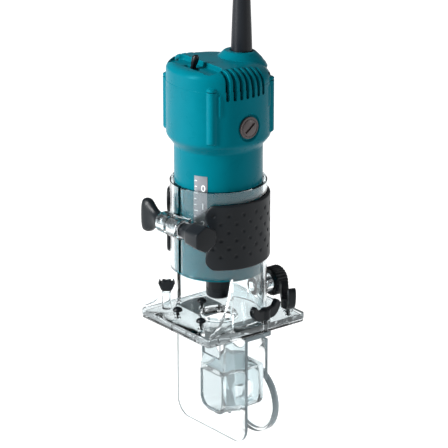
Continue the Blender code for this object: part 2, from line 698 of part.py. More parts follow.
def brush_gear():
    for name, side in (("right", 1), ("left", -1)):
        cap_profile = [(6.4, 31.2), (6.4, 34.6), (BRUSH_CAP_R, 34.6), (BRUSH_CAP_R, 36.0), (7.2, 36.6)]
        cap = turned(f"brush_cap_{name}", cap_profile, PHENOLIC, 20)
        groove = block(f"cap_groove_{name}", (-0.9, -5, 35.6), (0.9, 5, 38), PHENOLIC)
        cut(cap, groove)
        holder = prism(f"brush_holder_{name}", rounded(-4.5, 4.5, -5.6, 5.6, 1, 2), 12.6, 30.8, BRASS)
        cut(holder, block(f"holder_cut_{name}", (-3.4, -4.4, 11), (3.4, 4.4, 32), BRASS))
        brush = block(f"carbon_brush_{name}", (-3.0, -4.0, 10.5), (3.0, 4.0, 21.5), CARBON)
        spring = bored(f"brush_spring_{name}", tube_profile(1.9, 2.7, 21.9, 30.8), STEEL, 16)
        for piece in (cap, bpy.data.objects[f"cap_groove_{name}"], holder, brush, spring,
                      bpy.data.objects[f"holder_cut_{name}"]):
            moved(piece, (0, 0, BRUSH_Z), "X")
            if side < 0:
                mirrored(piece)


def field():
    core = cylinder("field_core", 28.4, CORE_BOTTOM, CORE_TOP, LAMINATION, 36)
    inside = []
    for start in (42, 222):
        inside += arc(0, 0, 16.2, start, start + 96, 8) + arc(0, 0, 24.2, start + 98, start + 178, 6)
    cut(core, prism("core_cut", inside, CORE_BOTTOM - 2, CORE_TOP + 2, LAMINATION))
    for name, start in (("back", 6), ("front", 186)):
        turn, low, high = start + 168, CORE_BOTTOM - 8, CORE_TOP + 8
        sector = arc(0, 0, 17.2, start, turn, 12) + arc(0, 0, 23.6, turn, start, 12)
        coil = prism(f"field_coil_{name}", sector, low, high, COPPER)
        first, last = start + 32, turn - 32
        gap = arc(0, 0, 12, first, last, 10) + arc(0, 0, 30, last, first, 10)
        cut(coil, prism(f"coil_cut_{name}", gap, CORE_BOTTOM - 0.5, CORE_TOP + 0.5, COPPER))
    return core


def rotor():
    profile = [
        (4.0, 26), (4.0, 30), (6.0, 31), (6.0, 56.5), (5.0, 57), (5.0, 148), (4.0, 149), (4.0, 178.5),
    ]
    turned("armature_shaft", profile, STEEL, 24)
    teeth, outline = 12, []
    for k in range(teeth):
        mid, pitch = 360 * k / teeth, 360 / teeth
        outline += arc(0, 0, CORE_R, mid - 0.38 * pitch, mid + 0.38 * pitch, 3)
        outline += arc(0, 0, 11.0, mid + 0.40 * pitch, mid + 0.60 * pitch, 1)
    core = prism("armature_core", outline, CORE_BOTTOM, CORE_TOP, LAMINATION)
    cut(core, cylinder("core_bore_cut", 5.0 + GAP, 90, 140, LAMINATION, 24))
    for name, low, high in (("lower", CORE_BOTTOM - 8, CORE_BOTTOM - GAP), ("upper", CORE_TOP + GAP, 145)):
        swell = [(5.4, low), (9, low), (13.6, low + 2.5), (13.6, high - 1), (12.5, high), (5.4, high)]
        bored(f"armature_winding_{name}", swell, COPPER, 24)
    wide = tube_profile(4.0 + GAP, COMMUTATOR_R, COMMUTATOR_BOTTOM, COMMUTATOR_TOP)
    bored("commutator", wide, COPPER, 24)
    fan()


def fan():
    disc = bored("cooling_fan", tube_profile(5.0 + GAP, 25.5, 62, 63.6), BLACK, 24)
    blades, outline = 8, []
    for k in range(blades):
        a = 360 * k / blades
        outline += arc(0, 0, 8.5, a + 6, a + 34, 2)
        outline += arc(0, 0, 25.0, a + 50, a + 54, 1)
    wheel = prism("blade_form", outline, 63, 73, BLACK)
    cut(wheel, cylinder("blade_bore_cut", 5.0 + GAP, 60, 76, BLACK, 16))
    return add(disc, wheel)


def bearings():
    bored("lower_bearing", tube_profile(6.0 + GAP, 12.9, 48.4, 57.2), STEEL, 24)
    bored("upper_bearing", tube_profile(4.0 + GAP, 10.9, 170.4, 177.0), STEEL, 24)
    profile = [
        (11.4, 168), (14, 168), (14, 172.4), (29.2, 172.4),
        (29.2, 175.6), (14, 175.6), (14, 177), (11.4, 177),
    ]
    bracket = bored("bearing_bracket", profile, ALUMINIUM, 28)
    bored("fan_baffle", tube_profile(22.5, 28.2, 76, 78), BLACK, 28)
    return bracket


def collet():
    nut = [
        (NUT_R, NUT_TOP), (6.0 + GAP, NUT_TOP), (6.0 + GAP, 30), (6.0 + GAP, 26),
        (3.6, 21.6), (3.6, NUT_BOTTOM), (7.6, NUT_BOTTOM), (NUT_R, NUT_BOTTOM + 1.8),
    ]
    bored("collet_nut", nut, DARK_STEEL, 24)
    cone = [(2.9, 19.6), (3.3, 19.6), (3.3, 21.6), (5.4, 25.6), (3.0, 25.6)]
    return bored("collet_cone", cone, STEEL, 20)


def scale_plate():
    """The depth scale on the barrel, curved with it."""
    rings = []
    for k in range(7):
        a = math.radians(-70 + 18 * k / 6)
        low, high, inner, outer = 66.0, 121.0, BARREL_R + 0.05, BARREL_R + 0.25
        corners = ((inner, low), (outer, low), (outer, high), (inner, high))
        rings.append([(radius * math.cos(a), radius * math.sin(a), z) for radius, z in corners])
    return lofted("depth_scale", rings, ALUMINIUM)


# ---- cord -------------------------------------------------------------------


def smooth_route(route, steps):
    """Points of a Catmull-Rom curve through the route."""
    ends = [Vector(p) for p in (route[0], *route, route[-1])]
    found = []
    for a, b, c, d in zip(ends, ends[1:], ends[2:], ends[3:]):
        for k in range(steps):
            t = k / steps
            found.append(
                0.5 * ((2 * b) + (c - a) * t + (2 * a - 5 * b + 4 * c - d) * t**2
                       + (3 * b - 3 * c + d - a) * t**3)
            )
    return [*found, ends[-1]]


def cord():
    data = bpy.data.curves.new("cord", "CURVE")
    data.dimensions = "3D"
    data.bevel_depth = CORD_R * MM
    data.bevel_resolution = 2
    data.use_fill_caps = True
    points = smooth_route(CORD_ROUTE, 3)
    line = data.splines.new("POLY")
    line.points.add(len(points) - 1)
    for spot, place in zip(line.points, points, strict=True):
        spot.co = (*(place * MM), 1)
    obj = bpy.data.objects.new("cord", data)
    bpy.context.scene.collection.objects.link(obj)
    paint(obj, RUBBER)
    return obj


def cord_coil():
    inner, outer = COIL_MEAN_R - 2 * CORD_R, COIL_MEAN_R + 2 * CORD_R
    coil = bored("cord_coil", tube_profile(inner, outer, FLOOR_Z + 0.05, COIL_TOP), RUBBER, 40)
    return moved(coil, (COIL_X, COIL_Y, 0))


def plug_body():
    """The plug lying on the coil: its strain relief follows the turns and the rest is straight."""
    rings = []
    for along, wide, high in PLUG_SECTIONS:
        turn = max(0.0, PLUG_RELIEF - along) / PLUG_BEND_R
        outward = Vector((-math.cos(turn), -math.sin(turn), 0))
        centre = PLUG_BEND_R * outward + Vector(
            (COIL_X, COIL_Y + max(0.0, along - PLUG_RELIEF), COIL_TOP + GAP + high)
        )
        ring = []
        for k in range(12):
            a = math.tau * (k + 0.5) / 12
            ring.append(centre + outward * wide * math.cos(a) + Vector((0, 0, high * math.sin(a))))
        rings.append(ring)
    return lofted("plug_body", rings, BLACK)


def plug_pins():
    face_y = COIL_Y + PLUG_LENGTH - PLUG_RELIEF + GAP
    centre_z = COIL_TOP + GAP + PLUG_SECTIONS[-2][2]
    for name, side in (("plug_pin_left", -1), ("plug_pin_right", 1)):
        pin = block(name, (-0.75, 0, -3.15), (0.75, PIN_LENGTH, 3.15), BRASS)
        moved(pin, (COIL_X + side * PIN_APART - PLUG_BEND_R, face_y, centre_z))


def main():
    clear_scene()
    base_plate()
    base_wall()
    base_protector()
    sole_screws()
    rubber_grip()
    clamp()
    guide_clamp()
    wing_screws()
    front_shield()
    chip_duct()
    rear_shield()
    motor_housing()
    top_cover()
    cover_screws()
    cord_guard()
    switch()
    brush_gear()
    field()
    rotor()
    bearings()
    collet()
    scale_plate()
    cord()
    cord_coil()
    plug_body()
    plug_pins()


main()
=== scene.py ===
"""Looks of the trim router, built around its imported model. Lengths are millimetres unless said otherwise."""

import json
import math

import bmesh
import bpy
from mathutils import Matrix, Vector


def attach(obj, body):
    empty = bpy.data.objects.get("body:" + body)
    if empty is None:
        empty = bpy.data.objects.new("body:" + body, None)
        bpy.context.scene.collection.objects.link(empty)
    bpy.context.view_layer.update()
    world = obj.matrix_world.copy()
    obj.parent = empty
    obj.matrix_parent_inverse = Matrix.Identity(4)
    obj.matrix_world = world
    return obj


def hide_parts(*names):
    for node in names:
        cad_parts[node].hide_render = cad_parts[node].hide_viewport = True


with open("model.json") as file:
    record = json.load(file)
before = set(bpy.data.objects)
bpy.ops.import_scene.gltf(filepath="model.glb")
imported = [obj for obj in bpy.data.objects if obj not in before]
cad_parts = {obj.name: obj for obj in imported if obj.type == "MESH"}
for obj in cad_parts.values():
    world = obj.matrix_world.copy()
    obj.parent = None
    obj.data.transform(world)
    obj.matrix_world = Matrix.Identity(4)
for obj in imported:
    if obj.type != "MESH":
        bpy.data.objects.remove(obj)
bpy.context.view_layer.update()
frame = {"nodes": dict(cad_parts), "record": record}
NODES = frame["nodes"]
MM = 0.001
TAU = math.tau

# Sizes shared with the model
GAP = 0.35
SOLE_X, SOLE_FRONT, SOLE_BACK, SOLE_CORNER = 41.0, -41.0, 49.0, 3.5
SHEET_TOP, PLATE_BOTTOM, PLATE_TOP = 1.9, 2.25, 6.6
BORE_R, WALL_R, WALL_TOP = 32.4, 35.3, 110.0
WINDOW_Y, WINDOW_TOP, SLIT = -13.0, 44.0, 3.0
BIT_OPENING_R, BOLT_R = 13.5, 3.0
CLAMP_Y, CLAMP_Z, EAR_R, EAR_END = -41.0, 82.5, 7.8, 11.6
GRIP_R, GRIP_LOW, GRIP_HIGH = 37.5, 52.0, 101.0
DENT_Z, DENT_PITCH_Z, DENT_ROWS, DENT_DEPTH, DENT_R = 81.2, 6.15, (-3, 2), 0.8, math.sqrt(2.1)
DENT_PITCH_ANGLE, DENT_STARTS = 17.0, (-9.3, -18.0)
MARK_Z, MARK_PITCH = 69.0, 4.4
MARK_START, MARK_LONG, MARK_SHORT = -69.2, 5.2, 3.0  # degrees around the barrel
STUD_Z, BOSS_BACK = 19.0, 46.6
SHIELD_SCREW, GUIDE_SCREW, STOP_SCREW, STOP_POST_TOP = (37.0, 14.0), (30, 41), (-28.5, -26.0), 20.0
SCREW_PLACES = ((-17.5, -2), (-34, 27), (14, -27), (-14, -27))
BARREL_R, BARREL_INNER_R, BARREL_BOTTOM, NECK_Z = 32.0, 28.8, 41.0, 137.0
HEAD_HALF, HEAD_SQUARENESS, HEAD_Z, COVER_Z, HEAD_TOP = 36.0, 2.3, 144.0, 185.0, 199.4
SHELL = 3.0
COLUMN_FAR, COLUMN_OUT_R = 36.4, 3.55  # the part of a column that stands out of the head
RIDGE_FAR, RIDGE_R, RIDGE_TURN = 36.9, 1.5, 0.155
SHOULDER_SIDE, SHOULDER_FRONT_LESS, SHOULDER_BACK_MORE = 12.5, 8.5, 5.0
RIDGE_LINE_Y, BACK_FALL, FRONT_FALL = -14.0, 0.06, 0.10
BRUSH_Z, BRUSH_CAP_R = 156.5, 8.0
VENT_COUNT, VENT_PITCH, VENT_WIDTH, VENT_FIRST_Y, VENT_LOW = 7, 5.1, 2.6, -17.0, 178.0
SLOT_EASE = 0.03  # with this and one cut per slot, no slot turns into an added block
VENT_FROM, VENT_TO = 24.9, 41.3
CORD_Y, CORD_R, GUARD_TOP = 21.0, 3.6, 262.0
LEVER_PIVOT, LEVER_LEAN = (-4.5, -21.0, 189.0), 20.0
DISH, DISH_FLOOR = (-27.0, 25.0, -27.6, -13.5, 6.5), 195.6
NUT_R, NUT_BOTTOM, NUT_TOP = 9.2, 19.0, 40.5
SHIELD_BACK, SHIELD_THICK, SHIELD_BOTTOM, SHIELD_CORNER = -4.9, 2.4, -85.0, 13.0
NOTCH_HALF, NOTCH_BOTTOM = 10.0, -27.0
WINDOW_HALF, WINDOW_HIGH, WINDOW_LOW = 12.6, -40.0, -69.0
DUCT_WALL, DUCT_BACK = 3.2, 30.0
DISC_R, DISC_Z, DISC_Y, DISC_THICK = 26.0, -70.0, 30.4, 2.6
FLOOR_Z = DISC_Z - DISC_R
COIL_X, COIL_Y, COIL_MEAN_R, COIL_LAYERS = 2.0, 294.0, 36.0, 4
COIL_TOP = FLOOR_Z + 2 * CORD_R * COIL_LAYERS
CORD_ROUTE = (
    (0, CORD_Y, 258), (0, 23, 285), (0, 36, 318), (0, 58, 344), (0, 90, 360), (0, 126, 362),
    (0, 160, 350), (0, 190, 326), (0, 214, 292), (3.5, 231, 250), (13, 241, 200), (24, 247, 145),
    (33, 250.5, 90), (38.6, 252.4, 35), (40.9, 252.9, -10), (41.2, 253, -38), (41.2, 253, -50),
    (41.2, 253, -60.85), (38.9, 252.6, -72.9), (32.1, 251.4, -83.12), (22.1, 249.6, -89.95),
    (10.2, 247.5, -92.35),
)
PLUG_BEND_R, PLUG_RELIEF = 30.0, 26.0

# Camera: the tool seen from its clamp and cap side, from a little above
VIEW_AZIMUTH, VIEW_ELEVATION, VIEW_DISTANCE, LENS = 52.0, 19.6, 2.0, 221.8
VIEW_TARGET = (2.46, 3.15, 74.6)


# ---- materials --------------------------------------------------------------


class Look:
    """A procedural material: a Principled shader with a varied colour, roughness and fine relief."""

    def __init__(self, name, colour, roughness, **shader):
        self.material = bpy.data.materials.new(name)
        self.material.use_nodes = True
        self.nodes, self.links = self.material.node_tree.nodes, self.material.node_tree.links
        self.shader = self.nodes["Principled BSDF"]
        self.shader.inputs["Roughness"].default_value = roughness
        self.shader.inputs["Base Color"].default_value = (*colour, 1)
        for key, value in shader.items():
            self.shader.inputs[key.replace("_", " ")].default_value = value
        self.colour, self.roughness = colour, roughness
        self.place = self.nodes.new("ShaderNodeTexCoord").outputs["Object"]

    def noise(self, scale, detail=3.0, stretch=None):
        texture = self.nodes.new("ShaderNodeTexNoise")
        texture.inputs["Scale"].default_value = scale
        texture.inputs["Detail"].default_value = detail
        source = self.place
        if stretch:
            mapping = self.nodes.new("ShaderNodeMapping")
            mapping.inputs["Scale"].default_value = stretch
            self.links.new(source, mapping.inputs["Vector"])
            source = mapping.outputs["Vector"]
        self.links.new(source, texture.inputs["Vector"])
        return texture.outputs["Fac"]

    def tinted(self, scale, amount, stretch=None):
        """Colour that drifts by amount either way, over patches of 1 / scale metres."""
        ramp = self.nodes.new("ShaderNodeValToRGB")
        for element, share in zip(ramp.color_ramp.elements, (1 - amount, 1 + amount), strict=True):
            element.color = (*(min(1.0, c * share) for c in self.colour), 1)
        ramp.color_ramp.elements[0].position, ramp.color_ramp.elements[1].position = 0.3, 0.7
        self.links.new(self.noise(scale, 4, stretch), ramp.inputs["Fac"])
        self.links.new(ramp.outputs["Color"], self.shader.inputs["Base Color"])
        return self

    def worn(self, scale, amount, stretch=None):
        """Roughness that drifts by amount either way."""
        spread = self.nodes.new("ShaderNodeMapRange")
        spread.inputs["From Min"].default_value, spread.inputs["From Max"].default_value = 0.3, 0.7
        spread.inputs["To Min"].default_value = max(0.0, self.roughness - amount)
        spread.inputs["To Max"].default_value = min(1.0, self.roughness + amount)
        self.links.new(self.noise(scale, 3, stretch), spread.inputs["Value"])
        self.links.new(spread.outputs["Result"], self.shader.inputs["Roughness"])
        return self

    def grained(self, scale, depth_mm, stretch=None, detail=2.0):
        """Fine relief of the given depth."""
        bump = self.nodes.new("ShaderNodeBump")
        bump.inputs["Strength"].default_value = 1.0
        bump.inputs["Distance"].default_value = depth_mm * MM
        self.links.new(self.noise(scale, detail, stretch), bump.inputs["Height"])
        self.links.new(bump.outputs["Normal"], self.shader.inputs["Normal"])
        return self


def plastic(name, colour, roughness, grain=0.01, scale=2200, **shader):
    look = Look(name, colour, roughness, **shader)
    return look.tinted(45, 0.05).worn(90, 0.05).grained(scale, grain).material


def clear(name, colour, rim, roughness=0.03, coat=0.2, ior=1.2, through=1.0):
    """Clear plastic under a hard gloss, with a painted shade where it is seen edge on: the base colour turns
    to the darker rim colour.
    """
    look = Look(
        name, colour, roughness, Transmission_Weight=through, IOR=ior, Coat_Weight=coat, Coat_Roughness=0.03
    )
    # painted shade: Layer Weight facing blends the base colour into the darker rim colour on surfaces seen
    # edge on
    facing = look.nodes.new("ShaderNodeLayerWeight")
    facing.inputs["Blend"].default_value = 0.35
    ramp = look.nodes.new("ShaderNodeValToRGB")
    first, last = ramp.color_ramp.elements
    first.color, last.color = (*colour, 1), (*rim, 1)
    first.position, last.position = 0.35, 0.95
    look.links.new(facing.outputs["Facing"], ramp.inputs["Fac"])
    look.links.new(ramp.outputs["Color"], look.shader.inputs["Base Color"])
    return look.worn(60, 0.015).grained(140, 0.012).material


def metal(name, colour, roughness, stretch=(1, 1, 14)):
    look = Look(name, colour, roughness, Metallic=1.0)
    return look.tinted(160, 0.08, stretch).worn(220, 0.07, stretch).grained(500, 0.012, stretch).material


TEAL = plastic(
    "teal_nylon", (0.0, 0.1, 0.133), 0.3, 0.003, 1600,
    Specular_IOR_Level=0.07, Specular_Tint=(0.05, 0.85, 1, 1),
)
BLACK = plastic("black_moulding", (0.005, 0.007, 0.009), 0.34, Specular_IOR_Level=0.16)
RUBBER = plastic("grip_rubber", (0.005, 0.007, 0.009), 0.42, 0.01, 2600, Specular_IOR_Level=0.18)
CORD_RUBBER = plastic("cord_rubber", (0.006, 0.008, 0.011), 0.36, 0.01, 1800, Specular_IOR_Level=0.18)
# painted shade: every clear look turns to its darker rim colour where it is seen edge on
CLEAR = clear("clear_polycarbonate", (0.955, 0.985, 0.99), (0.50, 0.58, 0.60))
CLEAR_WALL = clear("clear_sleeve", (0.90, 0.955, 0.965), (0.30, 0.38, 0.41), 0.03, 0.03, 1.47)
# painted shade: the cut-edge, plate-side and duct looks are darker copies of the same clear plastic, put on
# edge and side faces
CLEAR_EDGE_SHADE = clear("clear_cut_edge_shade", (0.22, 0.27, 0.29), (0.16, 0.20, 0.22), 0.12, through=0.35)
CLEAR_SIDE_SHADE = clear("clear_plate_side_shade", (0.60, 0.66, 0.68), (0.40, 0.45, 0.47), 0.10, through=0.85)
CLEAR_DUCT_SHADE = clear("clear_duct_shade", (0.68, 0.76, 0.78), (0.22, 0.28, 0.30), 0.06, through=0.88)
SHEET = clear("clear_sole_sheet", (0.90, 0.94, 0.95), (0.45, 0.52, 0.54), 0.08)
STEEL = metal("ground_steel", (0.55, 0.56, 0.58), 0.25)
DARK_STEEL = metal("blackened_steel", (0.02, 0.021, 0.024), 0.36)
ALUMINIUM = metal("scale_aluminium", (0.22, 0.23, 0.25), 0.4, (1, 1, 1))
COPPER = metal("copper_wire", (0.72, 0.33, 0.16), 0.35, (30, 30, 1))
BRASS = metal("drawn_brass", (0.75, 0.55, 0.25), 0.3)
LAMINATION = metal("steel_laminations", (0.2, 0.2, 0.21), 0.5, (1, 1, 60))
PHENOLIC = plastic("brown_phenolic", (0.050, 0.036, 0.036), 0.4)
CARBON = plastic("pressed_carbon", (0.03, 0.03, 0.03), 0.65, 0.02)
WHITE_INK = plastic("white_ink", (0.75, 0.77, 0.78), 0.5, 0.002)
SLOT_LOOKS = {
    "teal_plastic": TEAL, "black_plastic": BLACK, "brown_plastic": PHENOLIC, "clear_plastic": CLEAR,
    "rubber": RUBBER, "steel": STEEL, "black_steel": DARK_STEEL, "lamination": LAMINATION,
    "aluminium": ALUMINIUM, "copper": COPPER, "brass": BRASS, "carbon": CARBON,
}


# ---- mesh tools -------------------------------------------------------------


def make(name, points, faces, look=None):
    """One mesh object with its faces turned outwards."""
    mesh = bpy.data.meshes.new(name)
    mesh.from_pydata([Vector(p) * MM for p in points], [], faces)
    shape = bmesh.new()
    shape.from_mesh(mesh)
    bmesh.ops.recalc_face_normals(shape, faces=shape.faces)
    shape.to_mesh(mesh)
    shape.free()
    obj = bpy.data.objects.new(name, mesh)
    bpy.context.scene.collection.objects.link(obj)
    if look:
        mesh.materials.append(look)
    return obj


def lofted(name, rings, look=None, through=False, laddered=False):
    """A body through rings of equal point counts, as in the model."""
    count = len(rings[0])
    points = [p for ring in rings for p in ring]
    faces = []
    for i in range(len(rings) if through else len(rings) - 1):
        a, b = i * count, (i + 1) % len(rings) * count
        faces += [(a + j, a + (j + 1) % count, b + (j + 1) % count, b + j) for j in range(count)]
    for first in () if through else (0, (len(rings) - 1) * count):
        if laddered:
            faces += [
                (first + j, first + j + 1, first + count - 2 - j, first + count - 1 - j)
                for j in range(count // 2 - 1)
            ]
        else:
            faces.append(tuple(range(first, first + count)))
    return make(name, points, faces, look)


def circle(radius, z, segments):
    return [(radius * math.cos(TAU * k / segments), radius * math.sin(TAU * k / segments), z)
            for k in range(segments)]


def turned(name, profile, look=None, segments=48):
    return lofted(name, [circle(r, z, segments) for r, z in profile], look)


def bored(name, profile, look=None, segments=64):
    return lofted(name, [circle(r, z, segments) for r, z in profile], look, through=True)


def tube_profile(inner, outer, low, high, edge=0.0):
    if not edge:
        return [(inner, low), (outer, low), (outer, high), (inner, high)]
    return [
        (inner, low + edge), (inner + edge, low), (outer - edge, low), (outer, low + edge),
        (outer, high - edge), (outer - edge, high), (inner + edge, high), (inner, high - edge),
    ]


def cylinder(name, radius, low, high, look=None, segments=32):
    return turned(name, [(radius, low), (radius, high)], look, segments)


def prism(name, outline, low, high, look=None):
    return lofted(name, [[(x, y, z) for x, y in outline] for z in (low, high)], look)


def block(name, low, high, look=None):
    outline = [(low[0], low[1]), (high[0], low[1]), (high[0], high[1]), (low[0], high[1])]
    return prism(name, outline, low[2], high[2], look)


def arc(x, y, radius, start, end, steps):
    turns = [math.radians(start + (end - start) * k / steps) for k in range(steps + 1)]
    return [(x + radius * math.cos(a), y + radius * math.sin(a)) for a in turns]


def rounded(x0, x1, y0, y1, radius, steps=8):
    return (
        arc(x1 - radius, y1 - radius, radius, 0, 90, steps)
        + arc(x0 + radius, y1 - radius, radius, 90, 180, steps)
        + arc(x0 + radius, y0 + radius, radius, 180, 270, steps)
        + arc(x1 - radius, y0 + radius, radius, 270, 360, steps)
    )


def turn_matrix(axis):
    return {
        "X": Matrix.Rotation(math.radians(90), 4, "Y"),
        "Y": Matrix.Rotation(math.radians(-90), 4, "X"),
        "Z": Matrix.Identity(4),
    }[axis]


def moved(obj, offset=(0, 0, 0), axis="Z", spin=0.0):
    """Lays a body made about Z along the given axis, then shifts it. spin turns it about Z first."""
    obj.data.transform(
        Matrix.Translation(Vector(offset) * MM)
        @ turn_matrix(axis)
        @ Matrix.Rotation(math.radians(spin), 4, "Z")
    )
    return obj


def standing(obj, y):
    """An outline drawn in X and Z, extruded from 0, stood at y with its depth towards +Y."""
    swap = Matrix(((1, 0, 0, 0), (0, 0, 1, 0), (0, 1, 0, 0), (0, 0, 0, 1)))
    obj.data.transform(Matrix.Translation((0, y * MM, 0)) @ swap)
    obj.data.flip_normals()
    return obj


def sideways(obj):
    """An outline drawn in Y and Z, extruded along X."""
    obj.data.transform(Matrix(((0, 0, 1, 0), (1, 0, 0, 0), (0, 1, 0, 0), (0, 0, 0, 1))))
    return obj


def mirrored(obj):
    obj.data.transform(Matrix.Scale(-1, 4, (1, 0, 0)))
    obj.data.flip_normals()
    return obj


def evaluated(obj):
    """Applies the modifiers of obj."""
    bpy.context.view_layer.update()
    graph = bpy.context.evaluated_depsgraph_get()
    mesh = bpy.data.meshes.new_from_object(obj.evaluated_get(graph))
    obj.modifiers.clear()
    old, obj.data = obj.data, mesh
    bpy.data.meshes.remove(old)
    return obj


def boolean(obj, others, operation):
    """Joins or cuts obj with others, which are used up."""
    for other in others:
        step = obj.modifiers.new(other.name, "BOOLEAN")
        step.operation, step.object, step.solver = operation, other, "EXACT"
    evaluated(obj)
    for other in others:
        bpy.data.objects.remove(other)
    return obj


def cut(obj, *others):
    return boolean(obj, others, "DIFFERENCE")


def add(obj, *others):
    return boolean(obj, others, "UNION")


def softened(obj, width, segments=2, angle=40):
    """Rounds the edges sharper than angle."""
    bevel = obj.modifiers.new("edges", "BEVEL")
    bevel.width, bevel.segments, bevel.limit_method = width * MM, segments, "ANGLE"
    bevel.angle_limit, bevel.use_clamp_overlap = math.radians(angle), True
    bevel.miter_outer, bevel.harden_normals = "MITER_ARC", False
    return evaluated(obj)


def moulded(obj, voxel=0.45, rounds=3, share=0.5):
    """Melts the hard edges of a body the way a mould's fillets do."""
    remesh = obj.modifiers.new("remesh", "REMESH")
    remesh.mode, remesh.voxel_size, remesh.adaptivity = "VOXEL", voxel * MM, 0.0
    relax = obj.modifiers.new("relax", "SMOOTH")
    relax.iterations, relax.factor = rounds, share
    evaluated(obj)
    obj.data.shade_smooth()
    return obj


def piece(obj, body, nodes=(), sharp=35):
    """Hands a finished object over: shading, the body it rides on and the nodes it stands for."""
    obj.data.shade_smooth()
    if sharp:
        obj.data.set_sharp_from_angle(angle=math.radians(sharp))
    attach(obj, body)
    if nodes:
        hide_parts(*([nodes] if isinstance(nodes, str) else nodes))
    return obj


def coloured(obj, look):
    obj.data.materials.clear()
    obj.data.materials.append(look)
    return obj


def edged(obj, axis):
    """Gives the faces that don't look along the sheet's axis a darker copy of the clear plastic, a painted
    shade on the cut edges.
    """
    coloured(obj, CLEAR)
    obj.data.materials.append(CLEAR_EDGE_SHADE)
    # painted shade: faces that don't look along the axis take the darker clear copy
    for face in obj.data.polygons:
        face.material_index = int(abs(face.normal[axis]) < 0.5)
    return obj


# ---- camera, floor and light ------------------------------------------------


def direction(azimuth, elevation):
    a, e = math.radians(azimuth), math.radians(elevation)
    return Vector((math.cos(e) * math.sin(a), -math.cos(e) * math.cos(a), math.sin(e)))


def place_camera():
    data = bpy.data.cameras.new("camera")
    data.lens, data.sensor_width, data.clip_start, data.clip_end = LENS, 36.0, 0.05, 30.0
    camera = bpy.data.objects.new("camera", data)
    bpy.context.scene.collection.objects.link(camera)
    towards = direction(VIEW_AZIMUTH, VIEW_ELEVATION)
    camera.location = Vector(VIEW_TARGET) * MM + towards * VIEW_DISTANCE
    camera.rotation_euler = towards.to_track_quat("Z", "Y").to_euler()
    bpy.context.scene.camera = camera


def softbox(name, azimuth, elevation, distance, size, power, colour=(1, 1, 1)):
    data = bpy.data.lights.new(name, "AREA")
    data.shape, data.size, data.size_y = "RECTANGLE", size[0], size[1]
    data.energy, data.color = power, colour
    lamp = bpy.data.objects.new(name, data)
    bpy.context.scene.collection.objects.link(lamp)
    towards = direction(azimuth, elevation)
    lamp.location = Vector((0, 0, 0.08)) + towards * distance
    lamp.rotation_euler = towards.to_track_quat("Z", "Y").to_euler()


def studio():
    bpy.context.scene.view_settings.view_transform = "Standard"
    world = bpy.data.worlds.new("studio")
    bpy.context.scene.world = world
    world.use_nodes = True
    world.node_tree.nodes["Background"].inputs["Color"].default_value = (0.96, 0.985, 1.0, 1)
    world.node_tree.nodes["Background"].inputs["Strength"].default_value = 0.25
    softbox("key", -18, 26, 1.5, (0.34, 1.3), 60)
    softbox("front", 14, 40, 1.7, (0.5, 0.9), 3)
    softbox("fill", 130, 22, 1.6, (0.28, 1.2), 7)
    softbox("top", 60, 84, 1.8, (1.6, 1.6), 2)
    floor = make("floor", [(-9000, -9000, FLOOR_Z - 0.1), (9000, -9000, FLOOR_Z - 0.1),
                           (9000, 9000, FLOOR_Z - 0.1), (-9000, 9000, FLOOR_Z - 0.1)], [(0, 1, 2, 3)])
    paper = Look("white_paper", (0.3, 0.3, 0.3), 0.95, Emission_Strength=0.93).tinted(3, 0.01)
    paper.shader.inputs["Emission Color"].default_value = (1, 1, 1, 1)
    floor.data.materials.append(paper.material)


# ---- cord -------------------------------------------------------------------


def smooth_route(route, steps):
    """Points of a Catmull-Rom curve through the route."""
    ends = [Vector(p) for p in (route[0], *route, route[-1])]
    found = []
    for a, b, c, d in zip(ends, ends[1:], ends[2:], ends[3:]):
        for k in range(steps):
            t = k / steps
            found.append(
                0.5 * ((2 * b) + (c - a) * t + (2 * a - 5 * b + 4 * c - d) * t**2
                       + (3 * b - 3 * c + d - a) * t**3)
            )
    return [*found, ends[-1]]


COIL_START = -80.0
COIL_TURNS = 7.0 + (130.34 - 80.0) / 360.0
OUTER, INNER = COIL_MEAN_R + CORD_R, COIL_MEAN_R - CORD_R
RADIUS_MOVES = (  # turn where a move starts, where it ends, radius after it
    (0, 0.22, OUTER), (1.0, 1.28, INNER), (2.50, 2.76, OUTER), (4.0, 4.28, INNER),
    (5.50, 5.76, OUTER), (6.56, 7.12, PLUG_BEND_R),
)
LEVEL_MOVES = ((1.76, 1.98), (3.26, 3.48), (4.76, 4.98), (6.26, 6.48))


def eased(t):
    return 0.5 - 0.5 * math.cos(math.pi * min(1.0, max(0.0, t)))


def coil_point(turn):
    """The cord's centre after so many turns of the coil, wound clockwise and upwards."""
    radius = 47.2
    for start, end, after in RADIUS_MOVES:
        radius += (after - radius) * eased((turn - start) / (end - start)) if turn > start else 0
    level = sum(eased((turn - start) / (end - start)) for start, end in LEVEL_MOVES)
    a = math.radians(COIL_START - 360 * turn)
    z = FLOOR_Z + CORD_R + 0.05 + 2 * CORD_R * level + 1.4 * eased((turn - 6.95) / 0.18)
    return Vector((COIL_X + radius * math.cos(a), COIL_Y + radius * math.sin(a), z))


def plug_place(along):
    """The plug's centre line and its outward side, from the start of its strain relief."""
    turn = max(0.0, PLUG_RELIEF - along) / PLUG_BEND_R
    outward = Vector((-math.cos(turn), -math.sin(turn), 0))
    centre = PLUG_BEND_R * outward + Vector((COIL_X, COIL_Y + max(0.0, along - PLUG_RELIEF), 0))
    return centre, outward


